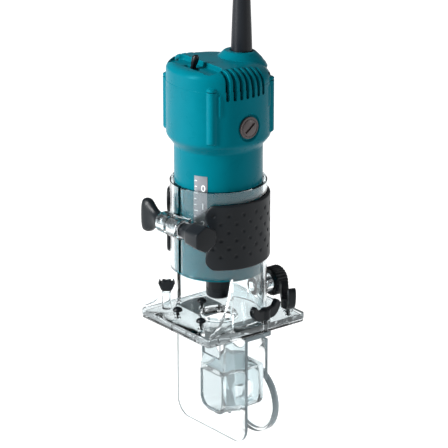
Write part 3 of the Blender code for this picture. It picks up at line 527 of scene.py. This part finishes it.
def make_cord():
    steps = 190
    points = smooth_route(CORD_ROUTE, 6)[:-1] + [coil_point(COIL_TURNS * k / steps) for k in range(steps + 1)]
    for along in (3, 6, 9):
        centre, _ = plug_place(along)
        points.append(Vector((centre.x, centre.y, points[-1].z)))
    data = bpy.data.curves.new("cord_line", "CURVE")
    data.dimensions, data.bevel_depth, data.bevel_resolution = "3D", CORD_R * MM, 5
    data.use_fill_caps = True
    line = data.splines.new("POLY")
    line.points.add(len(points) - 1)
    for spot, place in zip(line.points, points, strict=True):
        spot.co = (*(place * MM), 1)
    line.use_smooth = True
    obj = bpy.data.objects.new("power_cord", data)
    bpy.context.scene.collection.objects.link(obj)
    data.materials.append(CORD_RUBBER)
    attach(obj, "motor_unit")
    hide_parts("cord", "cord_coil")
    length = sum((b - a).length for a, b in zip(points, points[1:])) * MM
    return obj, length


def make_plug():
    """A moulded plug with a ribbed strain relief, lying on the coil."""
    sections = [(0, 4.4, 4.4), (1.2, 4.9, 4.9)]
    for k in range(6):
        low, size = 3.0 + 3.6 * k, 4.9 + 0.22 * k
        sections += [(low, size, size), (low + 0.5, size - 0.9, size - 0.9),
                     (low + 1.5, size - 0.9, size - 0.9), (low + 2.0, size + 0.1, size + 0.1)]
    sections += [(25.2, 6.3, 6.2), (26.6, 7.3, 6.7), (28.4, 8.6, 7.4), (31, 9.2, 7.8), (60, 9.2, 7.8),
                 (64.6, 8.7, 7.3), (66, 7.6, 6.3)]
    rings = []
    for along, wide, high in sections:
        centre, outward = plug_place(along)
        power = 2.0 if along < 26 else 3.0
        ring = []
        for k in range(32):
            a = TAU * (k + 0.5) / 32
            c, s = math.cos(a), math.sin(a)
            reach = (abs(c) ** power + abs(s) ** power) ** (-1 / power)
            lift = COIL_TOP + GAP + 4.9 + (2.9 * eased((along - 14) / 16))
            ring.append(centre + outward * wide * c * reach + Vector((0, 0, high * s * reach + lift)))
        rings.append(ring)
    plug = lofted("plug_moulding", rings, BLACK)
    piece(plug, "motor_unit", "plug_body", 40)
    return plug


def make_tie():
    """The wire tie round the bundle of turns, on the side away from the plug."""
    rings = []
    low, high = FLOOR_Z + 0.2, COIL_TOP + 0.5
    mid_z, half_z = (low + high) / 2, (high - low) / 2
    reach = 8.0
    for width in (-3.0, 3.0):
        ring = []
        for k in range(40):
            a = TAU * k / 40
            c, s = math.cos(a), math.sin(a)
            power = 3.4
            size = (abs(c) ** power + abs(s) ** power) ** (-1 / power)
            ring.append((COIL_MEAN_R + reach * c * size, width, mid_z + half_z * s * size))
        rings.append(ring)
    inner = [[(COIL_MEAN_R + (x - COIL_MEAN_R) * 0.93, y, mid_z + (z - mid_z) * 0.97) for x, y, z in ring]
             for ring in rings]
    tie = lofted("cord_tie", [rings[0], rings[1], inner[1], inner[0]], BLACK, through=True)
    moved(tie, spin=20)
    moved(tie, (COIL_X, COIL_Y, 0))
    return piece(tie, "motor_unit", ())


def cord_and_plug():
    cord, length = make_cord()
    plug = make_plug()
    tie = make_tie()


# ---- motor unit -------------------------------------------------------------

CORNERS = ((1, 1), (-1, 1), (-1, -1), (1, -1))


def smooth_max(a, b, width):
    h = max(0.0, width - abs(a - b)) / width
    return max(a, b) + h * h * width * 0.25


def square_reach(angle, half, power):
    c, s = abs(math.cos(angle)), abs(math.sin(angle))
    return half / (c**power + s**power) ** (1 / power)


def ridge_reach(angle, at, far, radius):
    """How far out an upright round ridge reaches in this direction, or nothing away from it."""
    offset = (angle - at + math.pi) % TAU - math.pi
    across = far * math.sin(offset)
    if abs(across) >= radius or abs(offset) > 0.5:
        return 0.0
    return far * math.cos(offset) + math.sqrt(radius**2 - across**2)


def shell_ring(half, power, z, column=0.0, ridge=0.0, count=360):
    """One level of the housing, with its corner columns and slim ridges brought out by 0 to 1."""
    ring = []
    for k in range(count):
        a = TAU * k / count
        reach = plain = square_reach(a, half, power)
        for turn in range(4) if column else ():
            corner = TAU * (turn + 0.5) / 4
            out = ridge_reach(a, corner, COLUMN_FAR, COLUMN_OUT_R)
            reach = max(reach, plain + (smooth_max(plain, out, 1.3) - plain) * column)
            beside = corner + (RIDGE_TURN if turn % 2 else -RIDGE_TURN)
            out = ridge_reach(a, beside, RIDGE_FAR, RIDGE_R)
            reach = max(reach, plain + (smooth_max(plain, out, 0.7) - plain) * ridge)
        ring.append((reach * math.cos(a), reach * math.sin(a), z))
    return ring


def motor_shell():
    bottom, square = BARREL_BOTTOM, HEAD_SQUARENESS
    outside = [shell_ring(r, 2, z) for r, z in (
        (30.4, bottom), (31.4, bottom + 0.35), (31.85, bottom + 0.9), (BARREL_R, bottom + 1.6),
        (BARREL_R, NECK_Z - 0.6), (BARREL_R, NECK_Z - 0.25),
    )]
    for k in range(13):
        t = k / 12
        half = BARREL_R + (HEAD_HALF - BARREL_R) * eased(0.08 + 0.92 * t)
        outside.append(shell_ring(half, 2 + (square - 2) * t, NECK_Z + (HEAD_Z + 1.5 - NECK_Z) * t))
    levels = (
        (146.5, 0, 0), (146.7, 0.3, 0), (147.1, 0.75, 0), (147.7, 0.94, 0), (148.6, 1, 0),
        (166.5, 1, 0), (167.5, 1, 0.6), (168.6, 1, 1),
        (COVER_Z - 3.5, 1, 1), (COVER_Z - 2.4, 1, 0.6), (COVER_Z - 1.6, 1, 0),
    )
    outside += [shell_ring(HEAD_HALF, square, z, share, ridge) for z, share, ridge in levels]
    outside.append(shell_ring(HEAD_HALF, square, COVER_Z - 0.4, 1))
    outside.append(shell_ring(HEAD_HALF - 0.3, square, COVER_Z, 1))
    inside = [shell_ring(half, power, z) for half, power, z in (
        (HEAD_HALF - SHELL, square, COVER_Z), (HEAD_HALF - SHELL, square, HEAD_Z + 1),
        (BARREL_INNER_R, 2, NECK_Z), (BARREL_INNER_R, 2, 48), (17, 2, 48), (17, 2, 58),
        (13.35, 2, 58), (13.35, 2, 48), (9.8, 2, 48), (9.8, 2, 44), (28.5, 2, 44), (28.5, 2, bottom),
    )]
    shell = lofted("motor_shell", [*outside, *inside], TEAL, through=True)
    tools = []
    for side in (-1, 1):
        profile = [(BRUSH_CAP_R + wider, x) for wider, x in ((1.1, 34.3), (1.4, 34.8), (2.9, 36.6), (4, 42))]
        seat = turned("seat", profile, None, 64)
        bore = cylinder("bore", 7.0, 28, 40, None, 48)
        for tool in (seat, bore):
            moved(tool, (0, 0, BRUSH_Z), "X")
            tools.append(tool if side > 0 else mirrored(tool))
    cut(shell, *tools)
    for slot in vent_combs(VENT_LOW, COVER_Z + 1):
        cut(shell, slot)
    return piece(shell, "motor_unit", "motor_housing", 32)


def vent_combs(low, high):
    """Cutters for the slots through both side walls, with their lower ends rounded."""
    combs = []
    for side in (-1, 1):
        for k in range(VENT_COUNT):
            y = VENT_FIRST_Y + VENT_PITCH * k
            half = VENT_WIDTH / 2 + SLOT_EASE
            outline = arc(y, low + half, half, 180, 360, 8) + [(y + half, high), (y - half, high)]
            tool = sideways(prism("vent", outline, VENT_FROM, VENT_TO))
            combs.append(tool if side > 0 else mirrored(tool))
    return combs


def shoulder(angle):
    """Radius of the cover's shoulder: small at the front, wide at the back."""
    towards_front = math.cos(angle + TAU / 4)
    if towards_front > 0:
        return SHOULDER_SIDE - SHOULDER_FRONT_LESS * towards_front**0.8
    return SHOULDER_SIDE + SHOULDER_BACK_MORE * (-towards_front) ** 0.8


def cover_ring(share, inset, top, count=240):
    """One level of the cover's shoulder, share going from 0 at its foot to 1 at the roof."""
    ring = []
    for k in range(count):
        a = TAU * k / count
        flush = 0.0 if inset else 0.75 * (1 - share)
        reach = square_reach(a, HEAD_HALF - 0.9 - inset + flush, HEAD_SQUARENESS)
        radius = min(7.0, max(2.0, shoulder(a) - inset)) if inset else shoulder(a)
        bend = TAU / 4 * share
        reach -= radius * (1 - math.cos(bend))
        drop = min(radius, top - COVER_Z - 0.8)
        ring.append((reach * math.cos(a), reach * math.sin(a), top - drop * (1 - math.sin(bend))))
    return ring


def roof_fall(y):
    """How far the roof lies under its ridge: it slopes down to the back and to the front."""
    behind = y - RIDGE_LINE_Y
    return BACK_FALL * max(0.0, behind) + FRONT_FALL * max(0.0, -behind)


def head_cover():
    seam = COVER_Z + GAP
    outside = [cover_ring(0, 0, HEAD_TOP)]
    outside[0] = [(x, y, COVER_Z - 0.7) for x, y, z in outside[0]]
    outside += [cover_ring(k / 12, 0, HEAD_TOP) for k in range(13)]
    for share in (0.75, 0.5, 0.25):
        outside.append([(x * share, y * share, z) for x, y, z in outside[13]])
    cover = lofted("head_cover", outside, TEAL)
    joins = []
    far = COLUMN_FAR / math.sqrt(2)
    end = [(COLUMN_OUT_R, seam), (COLUMN_OUT_R, seam + 1.8), (COLUMN_OUT_R - 0.8, seam + 2.6)]
    for sx, sy in CORNERS:
        joins.append(moved(turned("foot", end, None, 40), (sx * far, sy * far, 0)))
    profile = [
        (20, 192), (18.4, 196), (15.8, 199.6), (13.2, 202.2), (11.4, 203.8), (10.6, 204.1), (9.2, 204.1),
    ]
    collar = turned("collar", profile, None, 72)
    joins.append(moved(collar, (0, CORD_Y - 1.5, 0)))
    add(cover, *joins)
    inner = [cover_ring(k / 5, 2.9, HEAD_TOP - 7.5) for k in range(6)]
    inner.insert(0, [(x, y, seam - 2) for x, y, z in inner[0]])
    tools = [lofted("hollow", inner)]
    x, y, z = LEVER_PIVOT
    tools.append(prism("dish", rounded(*DISH, 10), DISH_FLOOR, HEAD_TOP + 4))
    tools.append(prism("slot", rounded(x - 8, x + 8, y - 2.9, y + 2.9, 1.5), z - 2, HEAD_TOP))
    tools.append(moved(cylinder("cord_bore", 8.1, 180, 215, None, 48), (0, CORD_Y, 0)))
    cut(cover, *tools, *vent_combs(COVER_Z - 3, HEAD_TOP + 2))
    coloured(moulded(cover, 0.42, 4), TEAL)
    for v in cover.data.vertices:
        height = min(1.0, max(0.0, (v.co.z / MM - seam - 1) / (HEAD_TOP - 3 - seam)))
        v.co.z -= roof_fall(v.co.y / MM) * height * MM
    return piece(cover, "motor_unit", "top_cover", 0)


def brush_caps():
    for name, side in (("right", 1), ("left", -1)):
        profile = [
            (6.4, 31.2), (6.4, 34.5), (BRUSH_CAP_R, 34.5), (BRUSH_CAP_R, 35.7), (BRUSH_CAP_R - 0.3, 36.0),
            (6.9, 36.0), (6.6, 35.6), (6.2, 35.6), (5.9, 36.2), (5.2, 36.5), (0.6, 36.6),
        ]
        cap = turned(f"brush_screw_{name}", profile, PHENOLIC, 64)
        cut(cap, block("groove", (-0.85, -5.0, 35.3), (0.85, 5.0, 38)))
        softened(cap, 0.12, 1, 50)
        moved(cap, (0, 0, BRUSH_Z), "X", spin=38)
        if side < 0:
            mirrored(cap)
        piece(coloured(cap, PHENOLIC), "motor_unit", f"brush_cap_{name}", 35)


def guard_sleeve():
    bore = CORD_R + 0.4
    profile = [(bore, 187.9), (9.0, 187.9), (9.1, 188.2), (9.1, 189.4), (7.9, 190.2), (7.75, 191)]
    for k in range(9):
        t = k / 8
        profile.append((7.75 - 2.3 * t**1.15, 200 + (GUARD_TOP - 2.6 - 200) * t))
    profile += [(5.2, GUARD_TOP - 0.8), (4.75, GUARD_TOP), (bore, GUARD_TOP)]
    guard = moved(bored("guard_sleeve", profile, CORD_RUBBER, 64), (0, CORD_Y, 0))
    return piece(guard, "motor_unit", "cord_guard", 40)


def lever():
    """The switch lever: a pin, a waist and a rounded paddle."""
    rings = []
    for z, wide, deep in (
        (1.0, 1.5, 1.9), (9.5, 1.5, 2.0), (11.2, 1.9, 2.3),
        (14.5, 2.15, 2.5), (16.6, 1.9, 2.2), (17.5, 1.1, 1.4),
    ):
        ring = []
        for k in range(28):
            a = TAU * k / 28
            c, s = math.cos(a), math.sin(a)
            size = (abs(c) ** 3 + abs(s) ** 3) ** (-1 / 3)
            ring.append((wide * c * size, deep * s * size, z))
        rings.append(ring)
    paddle = lofted("switch_paddle", rings, BLACK)
    profile = [(0.6, -6.2), (0.85, -6.0), (0.85, -4), (2.6, -4), (2.6, 4), (0.85, 4), (0.85, 6.0), (0.6, 6.2)]
    pin = moved(turned("pin", profile, None, 32), (0, 0, 0), "Y")
    add(paddle, pin)
    lean = Matrix.Rotation(math.radians(LEVER_LEAN), 4, "Y")
    paddle.data.transform(Matrix.Translation(Vector(LEVER_PIVOT) * MM) @ lean)
    return piece(coloured(paddle, BLACK), "switch_lever", "switch_lever", 40)


def on_barrel(angle, radius, z):
    a = math.radians(angle)
    return (radius * math.cos(a), radius * math.sin(a), z)


def strip(name, start, end, low, high, inner, outer, look, columns=6):
    """A patch curved with the barrel, between two angles."""
    rings = []
    for k in range(columns + 1):
        a = start + (end - start) * k / columns
        section = ((inner, low), (outer, low), (outer, high), (inner, high))
        rings.append([on_barrel(a, radius, z) for radius, z in section])
    return lofted(name, rings, look)


def scale():
    """The depth scale: a printed strip with marks and numbers."""
    plate = strip("scale_strip", -70, -52, 66, 121, BARREL_R + 0.03, BARREL_R + 0.25, ALUMINIUM, 10)
    piece(plate, "motor_unit", "depth_scale", 35)
    inks = []
    for k in range(12):
        z = MARK_Z + MARK_PITCH * k
        end = MARK_START + (MARK_LONG if k % 3 == 0 else MARK_SHORT)
        low, high, inner, outer = z - 0.28, z + 0.28, BARREL_R + 0.2, BARREL_R + 0.33
        inks.append(strip(f"mark_{k}", MARK_START, end, low, high, inner, outer, WHITE_INK, 3))
    for k, digit in enumerate("3210"):
        data = bpy.data.curves.new(f"digit_{k}", "FONT")
        data.body, data.size, data.extrude = digit, 0.0068, 0.00006
        data.align_x, data.align_y = "CENTER", "CENTER"
        text = bpy.data.objects.new(f"digit_{k}", data)
        bpy.context.scene.collection.objects.link(text)
        bpy.context.view_layer.update()
        mesh = bpy.data.meshes.new_from_object(text.evaluated_get(bpy.context.evaluated_depsgraph_get()))
        bpy.data.objects.remove(text)
        shape = bmesh.new()
        shape.from_mesh(mesh)
        bmesh.ops.remove_doubles(shape, verts=shape.verts, dist=1e-6)
        for v in shape.verts:
            a = math.radians(-57.5) + v.co.x / (BARREL_R * MM)
            r = (BARREL_R + 0.27) * MM + v.co.z
            v.co = Vector((r * math.cos(a), r * math.sin(a), (72.2 + 13.2 * k) * MM + v.co.y))
        shape.to_mesh(mesh)
        shape.free()
        number = bpy.data.objects.new(f"digit_{k}", mesh)
        bpy.context.scene.collection.objects.link(number)
        inks.append(coloured(number, WHITE_INK))
    for ink in inks:
        piece(ink, "motor_unit", ())


# ---- base -------------------------------------------------------------------


def sole_outline(margin=0.0):
    across, front, back = SOLE_X - margin, SOLE_FRONT + margin, SOLE_BACK - margin
    return rounded(-across, across, front, back, SOLE_CORNER - margin, 10)


def fin(side):
    length, low, high = 25.0, PLATE_TOP - 0.6, WINDOW_TOP + 1
    curve = [(length * t / 20, low + 3 + (high - low - 3) * (1 - t / 20) ** 2.6) for t in range(21)]
    web = prism("fin", [(0, low), (length, low), *reversed(curve)], -1.2, 1.2)
    lean = math.atan2(6.0, 26.5)
    stand = Matrix(((0, 0, 1, 0), (-1, 0, 0, 0), (0, 1, 0, 0), (0, 0, 0, 1)))
    place = Matrix.Translation(Vector((33.7, WINDOW_Y - 0.7, 0)) * MM) @ Matrix.Rotation(lean, 4, "Z")
    web.data.transform(place @ stand)
    return web if side > 0 else mirrored(web)


def clear_base():
    base = prism("clear_base", sole_outline(), PLATE_BOTTOM, PLATE_TOP, CLEAR)
    softened(base, 0.5, 2, 60)
    wall_low = PLATE_TOP - 0.6
    wall = bored("wall", tube_profile(BORE_R, WALL_R, wall_low, WALL_TOP, 0.5), None, 120)
    profile = [
        (EAR_R - 0.6, -EAR_END), (EAR_R, 0.6 - EAR_END), (EAR_R, EAR_END - 0.6), (EAR_R - 0.6, EAR_END),
    ]
    ears = moved(turned("ears", profile, None, 56), (0, CLAMP_Y, CLAMP_Z), "X")
    web = block("web", (-EAR_END + 0.2, CLAMP_Y, CLAMP_Z - 6.5), (EAR_END - 0.2, -31, CLAMP_Z + 6.5))
    profile = [(7.0, 33.5), (7.0, BOSS_BACK - 0.5), (6.5, BOSS_BACK)]
    boss = moved(turned("boss", profile, None, 48), (0, 0, STUD_Z), "Y")
    joins = [wall, ears, web, boss]
    for x, y in (SHIELD_SCREW, GUIDE_SCREW):
        profile = [(3.95, PLATE_TOP - 1), (3.95, PLATE_TOP + 1.1), (3.6, PLATE_TOP + 1.4)]
        joins.append(moved(turned("pad", profile, None, 32), (x, y, 0)))
    add(base, *joins)
    cut(
        base, block("window", (-38, -60, PLATE_TOP), (38, WINDOW_Y, WINDOW_TOP)),
        block("slit", (-SLIT / 2, -55, 40), (SLIT / 2, -30, WALL_TOP + 2)),
    )
    post = turned("post", [(3.4, PLATE_TOP - 1), (3.4, STOP_POST_TOP - 0.4), (3.0, STOP_POST_TOP)], None, 32)
    add(base, fin(-1), fin(1), moved(post, (*STOP_SCREW, 0)))
    tools = [
        moved(cylinder("thread", 2.35, STOP_POST_TOP - 10, STOP_POST_TOP + 1, None, 24), (*STOP_SCREW, 0)),
        cylinder("bore", BORE_R, PLATE_TOP, WALL_TOP + 2, None, 120),
        cylinder("bit", BIT_OPENING_R, -1, PLATE_TOP + 3, None, 64),
        moved(cylinder("bolt", BOLT_R + GAP, -20, 20, None, 32), (0, CLAMP_Y, CLAMP_Z), "X"),
        moved(cylinder("stud", BOLT_R + GAP, 30, 50, None, 32), (0, 0, STUD_Z), "Y"),
    ]
    for radius, places in ((1.7, SCREW_PLACES), (2.35, (SHIELD_SCREW, GUIDE_SCREW))):
        tools += [moved(cylinder("hole", radius, 0, PLATE_TOP + 3, None, 24), (x, y, 0)) for x, y in places]
    cut(base, *tools)
    coloured(base, CLEAR)
    base.data.materials.append(CLEAR_WALL)
    base.data.materials.append(CLEAR_SIDE_SHADE)
    # painted shade: the plate's rim faces and the fins' upward faces take the darker clear copy; the wall
    # above the window takes the sleeve look
    for face in base.data.polygons:
        x, y, z = face.center / MM
        on_rim = z < PLATE_TOP and (abs(x) > SOLE_X - 1 or not SOLE_FRONT + 1 < y < SOLE_BACK - 1)
        on_fin = PLATE_TOP + 1 < z < WINDOW_TOP and y < WINDOW_Y - 1 and face.normal.z > 0.1
        face.material_index = 1 if z > WINDOW_TOP else 2 if on_rim or on_fin else 0
    return piece(base, "base", ("base_plate", "base_wall"), 30)


def sole_sheet():
    sheet = prism("sole_sheet", sole_outline(0.4), 0, SHEET_TOP)
    softened(sheet, 0.35, 2, 60)
    tools = [cylinder("bit", BIT_OPENING_R + 1, -1, 4, None, 64)]
    for x, y in (*SCREW_PLACES, SHIELD_SCREW, GUIDE_SCREW):
        tools.append(moved(cylinder("hole", 2.35, -1, 4, None, 24), (x, y, 0)))
    cut(sheet, *tools)
    return piece(coloured(sheet, SHEET), "base", "base_protector", 30)


def screws():
    for index, (x, y) in enumerate(SCREW_PLACES):
        profile = [
            (1.25, 0.4), (1.25, 9.4), (3.55, 9.4), (3.7, 9.7),
            (3.55, 10.4), (3.0, 11.3), (1.9, 11.95), (0.5, 12.1),
        ]
        screw = turned(f"sheet_screw_{index + 1}", profile, None, 32)
        cut(screw, *(block("cross", (-a, -b, 11.1), (a, b, 13)) for a, b in ((0.35, 1.7), (1.7, 0.35))))
        moved(screw, (x, y, 0), spin=20 * index)
        piece(coloured(screw, BLACK), "base", f"sole_screw_{index + 1}", 35)


def grip_edge(z):
    middle, half = 76.5, 24.5
    t = (z - middle) / half
    return -53 + 12 * math.exp(-((t / 0.34) ** 2)) + 9 * max(0.0, (abs(t) - 0.72) / 0.28) ** 2


def dimple(angle, z):
    """Depth of the pattern of small dents in the grip, staggered row by row."""
    row = round((z - DENT_Z) / DENT_PITCH_Z)
    if not DENT_ROWS[0] <= row <= DENT_ROWS[1]:
        return 0.0
    start = DENT_STARTS[row % 2]
    column = round((angle - start) / DENT_PITCH_ANGLE)
    across = (angle - start - column * DENT_PITCH_ANGLE) * GRIP_R * math.radians(1)
    up = z - DENT_Z - row * DENT_PITCH_Z
    return DENT_DEPTH * max(0.0, 1 - (across * across + up * up) / DENT_R**2) ** 0.6


def grip():
    rows, columns, low, high = 84, 250, GRIP_LOW, GRIP_HIGH
    heights = [low + (high - low) * k / rows for k in range(rows + 1)]
    rings = []
    for k in range(columns + 1):
        ring = []
        for inner, order in ((False, heights), (True, list(reversed(heights)))):
            for z in order:
                start = grip_edge(z)
                share = k / columns
                angle = start + (180 - 2 * start) * share
                if inner:
                    radius = WALL_R + 0.1
                else:
                    side = min(share, 1 - share) * (180 - 2 * start) * GRIP_R * math.radians(1)
                    end = min(z - low, high - z)
                    edge = min(side, end)
                    radius = GRIP_R - 0.9 * max(0.0, 1 - edge / 1.1) ** 2
                    if edge > 2:
                        radius -= dimple(angle, z)
                ring.append(on_barrel(angle, radius, z))
        rings.append(ring)
    sleeve = lofted("grip_sleeve", rings, RUBBER, laddered=True)
    return piece(sleeve, "base", "rubber_grip", 60)


def clamp_parts():
    y, z = CLAMP_Y, CLAMP_Z
    rings = []
    sections = (
        (13.4, 5.3), (13.8, 5.7), (17.0, 6.2), (20.5, 7.2), (23.4, 8.5), (24.4, 9.0),
        (25.0, 9.2), (37.0, 10.0), (38.3, 9.8), (38.9, 9.2), (39.0, 8.6),
    )
    for x, radius in sections:
        power = 1.0 if x > 23 else 0.35
        ring = []
        for k in range(48):
            a = TAU * k / 48
            within = (a % (TAU / 6)) - TAU / 12
            hexed = radius * 0.885 / math.cos(within)
            hexed = min(hexed, radius * 0.985)
            r = radius * 0.94 + (hexed - radius * 0.94) * power
            ring.append((x, y + r * math.cos(a + TAU / 12), z + r * math.sin(a + TAU / 12)))
        rings.append(ring)
    cap = lofted("hex_knob", rings)
    cut(cap, moved(cylinder("socket", BOLT_R + GAP, 12, 34.5, None, 32), (0, y, z), "X"))
    piece(coloured(cap, BLACK), "base", "clamp_hex_cap", 32)
    sections = (
        (-13.4, 5.2, 5.2, 2), (-13.9, 5.5, 5.5, 2), (-16.2, 5.1, 5.5, 2), (-18.4, 4.4, 6.0, 2.1),
        (-20.8, 3.9, 7.4, 2.3), (-23.4, 3.8, 9.4, 2.6), (-25.9, 4.0, 11.4, 2.9), (-28.0, 4.5, 12.2, 3.2),
        (-30.4, 4.8, 12.4, 3.4),
        (-32.4, 4.6, 12.2, 3.4), (-33.2, 4.1, 11.7, 3.2), (-33.4, 3.5, 11.0, 3.0),
    )
    rings = []
    for x, half_y, half_z, power in sections:
        ring = []
        for k in range(56):
            a = TAU * k / 56
            c, s = math.cos(a), math.sin(a)
            size = (abs(c) ** power + abs(s) ** power) ** (-1 / power)
            ring.append((x, y + half_y * c * size, z + half_z * s * size))
        rings.append(ring)
    wing = lofted("clamp_wing", rings)
    cut(wing, moved(cylinder("socket", BOLT_R + GAP, -22.5, -12, None, 32), (0, y, z), "X"))
    piece(coloured(wing, BLACK), "wing_knob", "wing_knob", 45)
    for name, x in (("left", -13.0), ("right", EAR_END + GAP)):
        washer = bored(f"washer_{name}", tube_profile(BOLT_R + GAP, 6.2, 0, 1.0, 0.2), STEEL, 48)
        piece(moved(washer, (x, y, z), "X"), "base", f"clamp_washer_{name}")


def guide_knob():
    teeth, steps, rings = 26, 8, []
    for height, low, high in (
        (47.1, 9.3, 9.4), (47.5, 9.7, 10.1), (48.3, 10.15, 11.0), (56.8, 10.15, 11.0), (57.7, 9.7, 10.3),
        (58.2, 9.0, 9.2),
    ):
        ring = []
        for k in range(teeth * steps):
            wave = 0.5 + 0.5 * math.cos(TAU * k / steps)
            r = low + (high - low) * wave**0.6
            a = TAU * k / (teeth * steps)
            ring.append((r * math.cos(a), r * math.sin(a), height))
        rings.append(ring)
    for radius, height in ((7.8, 58.2), (7.2, 57.6), (0.4, 57.6)):
        rings.append(circle(radius, height, teeth * steps))
    knob = lofted("guide_knob", rings)
    socket = cylinder("socket", BOLT_R + GAP, 46, 51.5, None, 32)
    for part in (knob, socket):
        moved(part, (0, 0, STUD_Z), "Y")
    cut(knob, socket)
    return piece(coloured(knob, BLACK), "guide_clamp_knob", "guide_clamp_knob", 38)


def thumbscrew(name, place, turn, hub_r, reach, height, half=2.1):
    x, y, low = place
    profile = ((hub_r - 0.5, 0), (hub_r, 0.5), (hub_r, 7.6), (hub_r - 0.8, 8.8), (0.8, 9))
    hub = turned(name, [(radius, low + z) for radius, z in profile], None, 40)
    blade = [
        (0.5, 0.2), (0.6 * reach, 1), (0.95 * reach, 6), (reach, height - 4),
        (0.8 * reach, height - 1), (0.58 * reach, height - 4.5), (0.5 * reach, 8.6), (0.5, 8.2),
    ]
    outline = [(p.x, p.y) for p in smooth_route([(u, w, 0) for u, w in blade], 4)]
    outline += [(-u, w) for u, w in reversed(outline)]
    wings = moved(standing(prism("wings", outline, -half, half), 0), (0, 0, low))
    shank = cylinder("shank", 2.0, low - 9, low + 3, None, 24)
    add(hub, wings)
    add(hub, shank)  # in two steps: one union of all three lost the hub and the wings
    moulded(hub, 0.36, 5)
    turned_to = Matrix.Rotation(math.radians(turn), 4, "Z")
    hub.data.transform(Matrix.Translation(Vector((x, y, 0)) * MM) @ turned_to)
    node = "wing_screw_" + name.split("_")[1]
    return piece(coloured(hub, BLACK), node, node, 0)


def thumbscrews():
    low = PLATE_TOP + 1.4 + GAP
    thumbscrew("thumb_shield", (*SHIELD_SCREW, low), 99, 3.7, 14.5, 14)
    thumbscrew("thumb_guide", (*GUIDE_SCREW, low + 1.0), -20, 5.2, 10.5, 19, 2.8)
    thumbscrew("thumb_stop", (*STOP_SCREW, STOP_POST_TOP + GAP), 52, 3.5, 6.2, 10, 2.4)


# ---- clear guard ------------------------------------------------------------


def guard_front():
    half, top, low, corner = SOLE_X, -GAP, SHIELD_BOTTOM, SHIELD_CORNER
    outline = (
        [(-half, top)]
        + arc(-half + corner, low + corner, corner, 180, 270, 16)
        + arc(half - corner, low + corner, corner, 270, 360, 16)
        + [(half, top), (18, top), (12, -4), (NOTCH_HALF, -9)]
        + [(NOTCH_HALF, NOTCH_BOTTOM), (-NOTCH_HALF, NOTCH_BOTTOM), (-NOTCH_HALF, -9), (-12, -4), (-18, top)]
    )
    front = SHIELD_BACK - SHIELD_THICK
    shield = standing(prism("guard_front", outline, 0, SHIELD_THICK), front)
    window = arc(-WINDOW_HALF + 8, WINDOW_LOW + 8, 8, 180, 270, 12)
    window += arc(WINDOW_HALF - 8, WINDOW_LOW + 8, 8, 270, 360, 12)
    window += [(WINDOW_HALF, WINDOW_HIGH), (-WINDOW_HALF, WINDOW_HIGH)]
    cut(shield, standing(prism("window", window, -2, SHIELD_THICK + 2), front))
    softened(shield, 0.35, 2, 50)
    flanges = []
    for side in (-1, 1):
        flange = prism("flange", rounded(17.4, half - 0.05, front + 0.1, 17.5, 2.2), -3.3, -GAP - 0.02)
        flanges.append(flange if side > 0 else mirrored(flange))
    add(shield, *flanges)
    cut(shield, moved(cylinder("hole", 2.35, -8, 2, None, 24), (*SHIELD_SCREW, 0)))
    return piece(edged(shield, 1), "base", "front_shield", 30)


def duct_outline(margin):
    half, radius = WINDOW_HALF + margin, 8 + margin
    outline = arc(-half + radius, WINDOW_LOW - margin + radius, radius, 180, 270, 12)
    outline += arc(half - radius, WINDOW_LOW - margin + radius, radius, 270, 360, 12)
    return [*outline, (half, WINDOW_HIGH + margin), (-half, WINDOW_HIGH + margin)]


def duct():
    start = SHIELD_BACK + GAP
    body = standing(prism("duct", duct_outline(DUCT_WALL), 0, DUCT_BACK - start), start)
    softened(body, 0.5, 2, 60)
    cut(body, standing(prism("hollow", duct_outline(0), -2, DUCT_BACK - start - 3), start))
    opening = sideways(prism("opening", rounded(4, 20, -62, -47, 4), 10, 20))
    cut(body, opening)
    cheeks = []
    for side in (-1, 1):
        cheek = [(start, -27), (start, -38), (13, -38), (10, -31), (1.5, -14.5), (start, -14.5)]
        wall = sideways(prism("cheek", cheek, 12.8, 15.4))
        cheeks.append(wall if side > 0 else mirrored(wall))
    add(body, *cheeks)
    edged(body, 1)
    # painted shade: the duct's side faces take a darker copy of the clear plastic
    body.data.materials[1] = CLEAR_DUCT_SHADE
    return piece(body, "base", "chip_duct", 30)


def guard_back():
    span = math.degrees(math.asin(17 / DISC_R))
    outline = arc(0, DISC_Z, DISC_R, 90 + span, 450 - span, 72) + [(17, -17.5), (-17, -17.5)]
    disc = standing(prism("guard_back", outline, 0, DISC_THICK), DISC_Y)
    softened(disc, 0.35, 2, 50)
    rim = bored("rim", tube_profile(DISC_R - 2.4, DISC_R - 0.03, 0.5, 6.4, 0.4), None, 96)
    add(disc, moved(rim, (0, DISC_Y, DISC_Z), "Y"))
    return piece(edged(disc, 1), "base", "rear_shield", 30)


# ---- spindle ----------------------------------------------------------------


def nut():
    profile = [
        (NUT_R - 0.4, NUT_TOP), (6.0 + GAP, NUT_TOP), (6.0 + GAP, 26), (3.6, 21.6), (3.6, NUT_BOTTOM),
        (6.6, NUT_BOTTOM), (7.6, NUT_BOTTOM + 0.4), (8.6, NUT_BOTTOM + 1.3), (NUT_R, NUT_BOTTOM + 2.8),
        (NUT_R, NUT_TOP - 0.4),
    ]
    body = bored("nut", profile, None, 96)
    flats = []
    for k in range(6):
        flat = block("flat", (8.55, -8, 26), (14, 8, 36.5))
        flats.append(moved(flat, spin=60 * k + 10))
    cut(body, *flats)
    return piece(coloured(body, BLACK), "rotor", "collet_nut", 30)


# ---- everything -------------------------------------------------------------

BUILDERS = (
    motor_shell, head_cover, brush_caps, guard_sleeve, lever, scale,
    clear_base, sole_sheet, screws, grip, clamp_parts, guide_knob, thumbscrews,
    guard_front, duct, guard_back, nut,
)

place_camera()
studio()
cord_and_plug()
for build in BUILDERS:
    build()

for entry in frame["record"]["subparts"]:
    coloured(NODES[entry["node"]], SLOT_LOOKS[entry["material_slot"]])
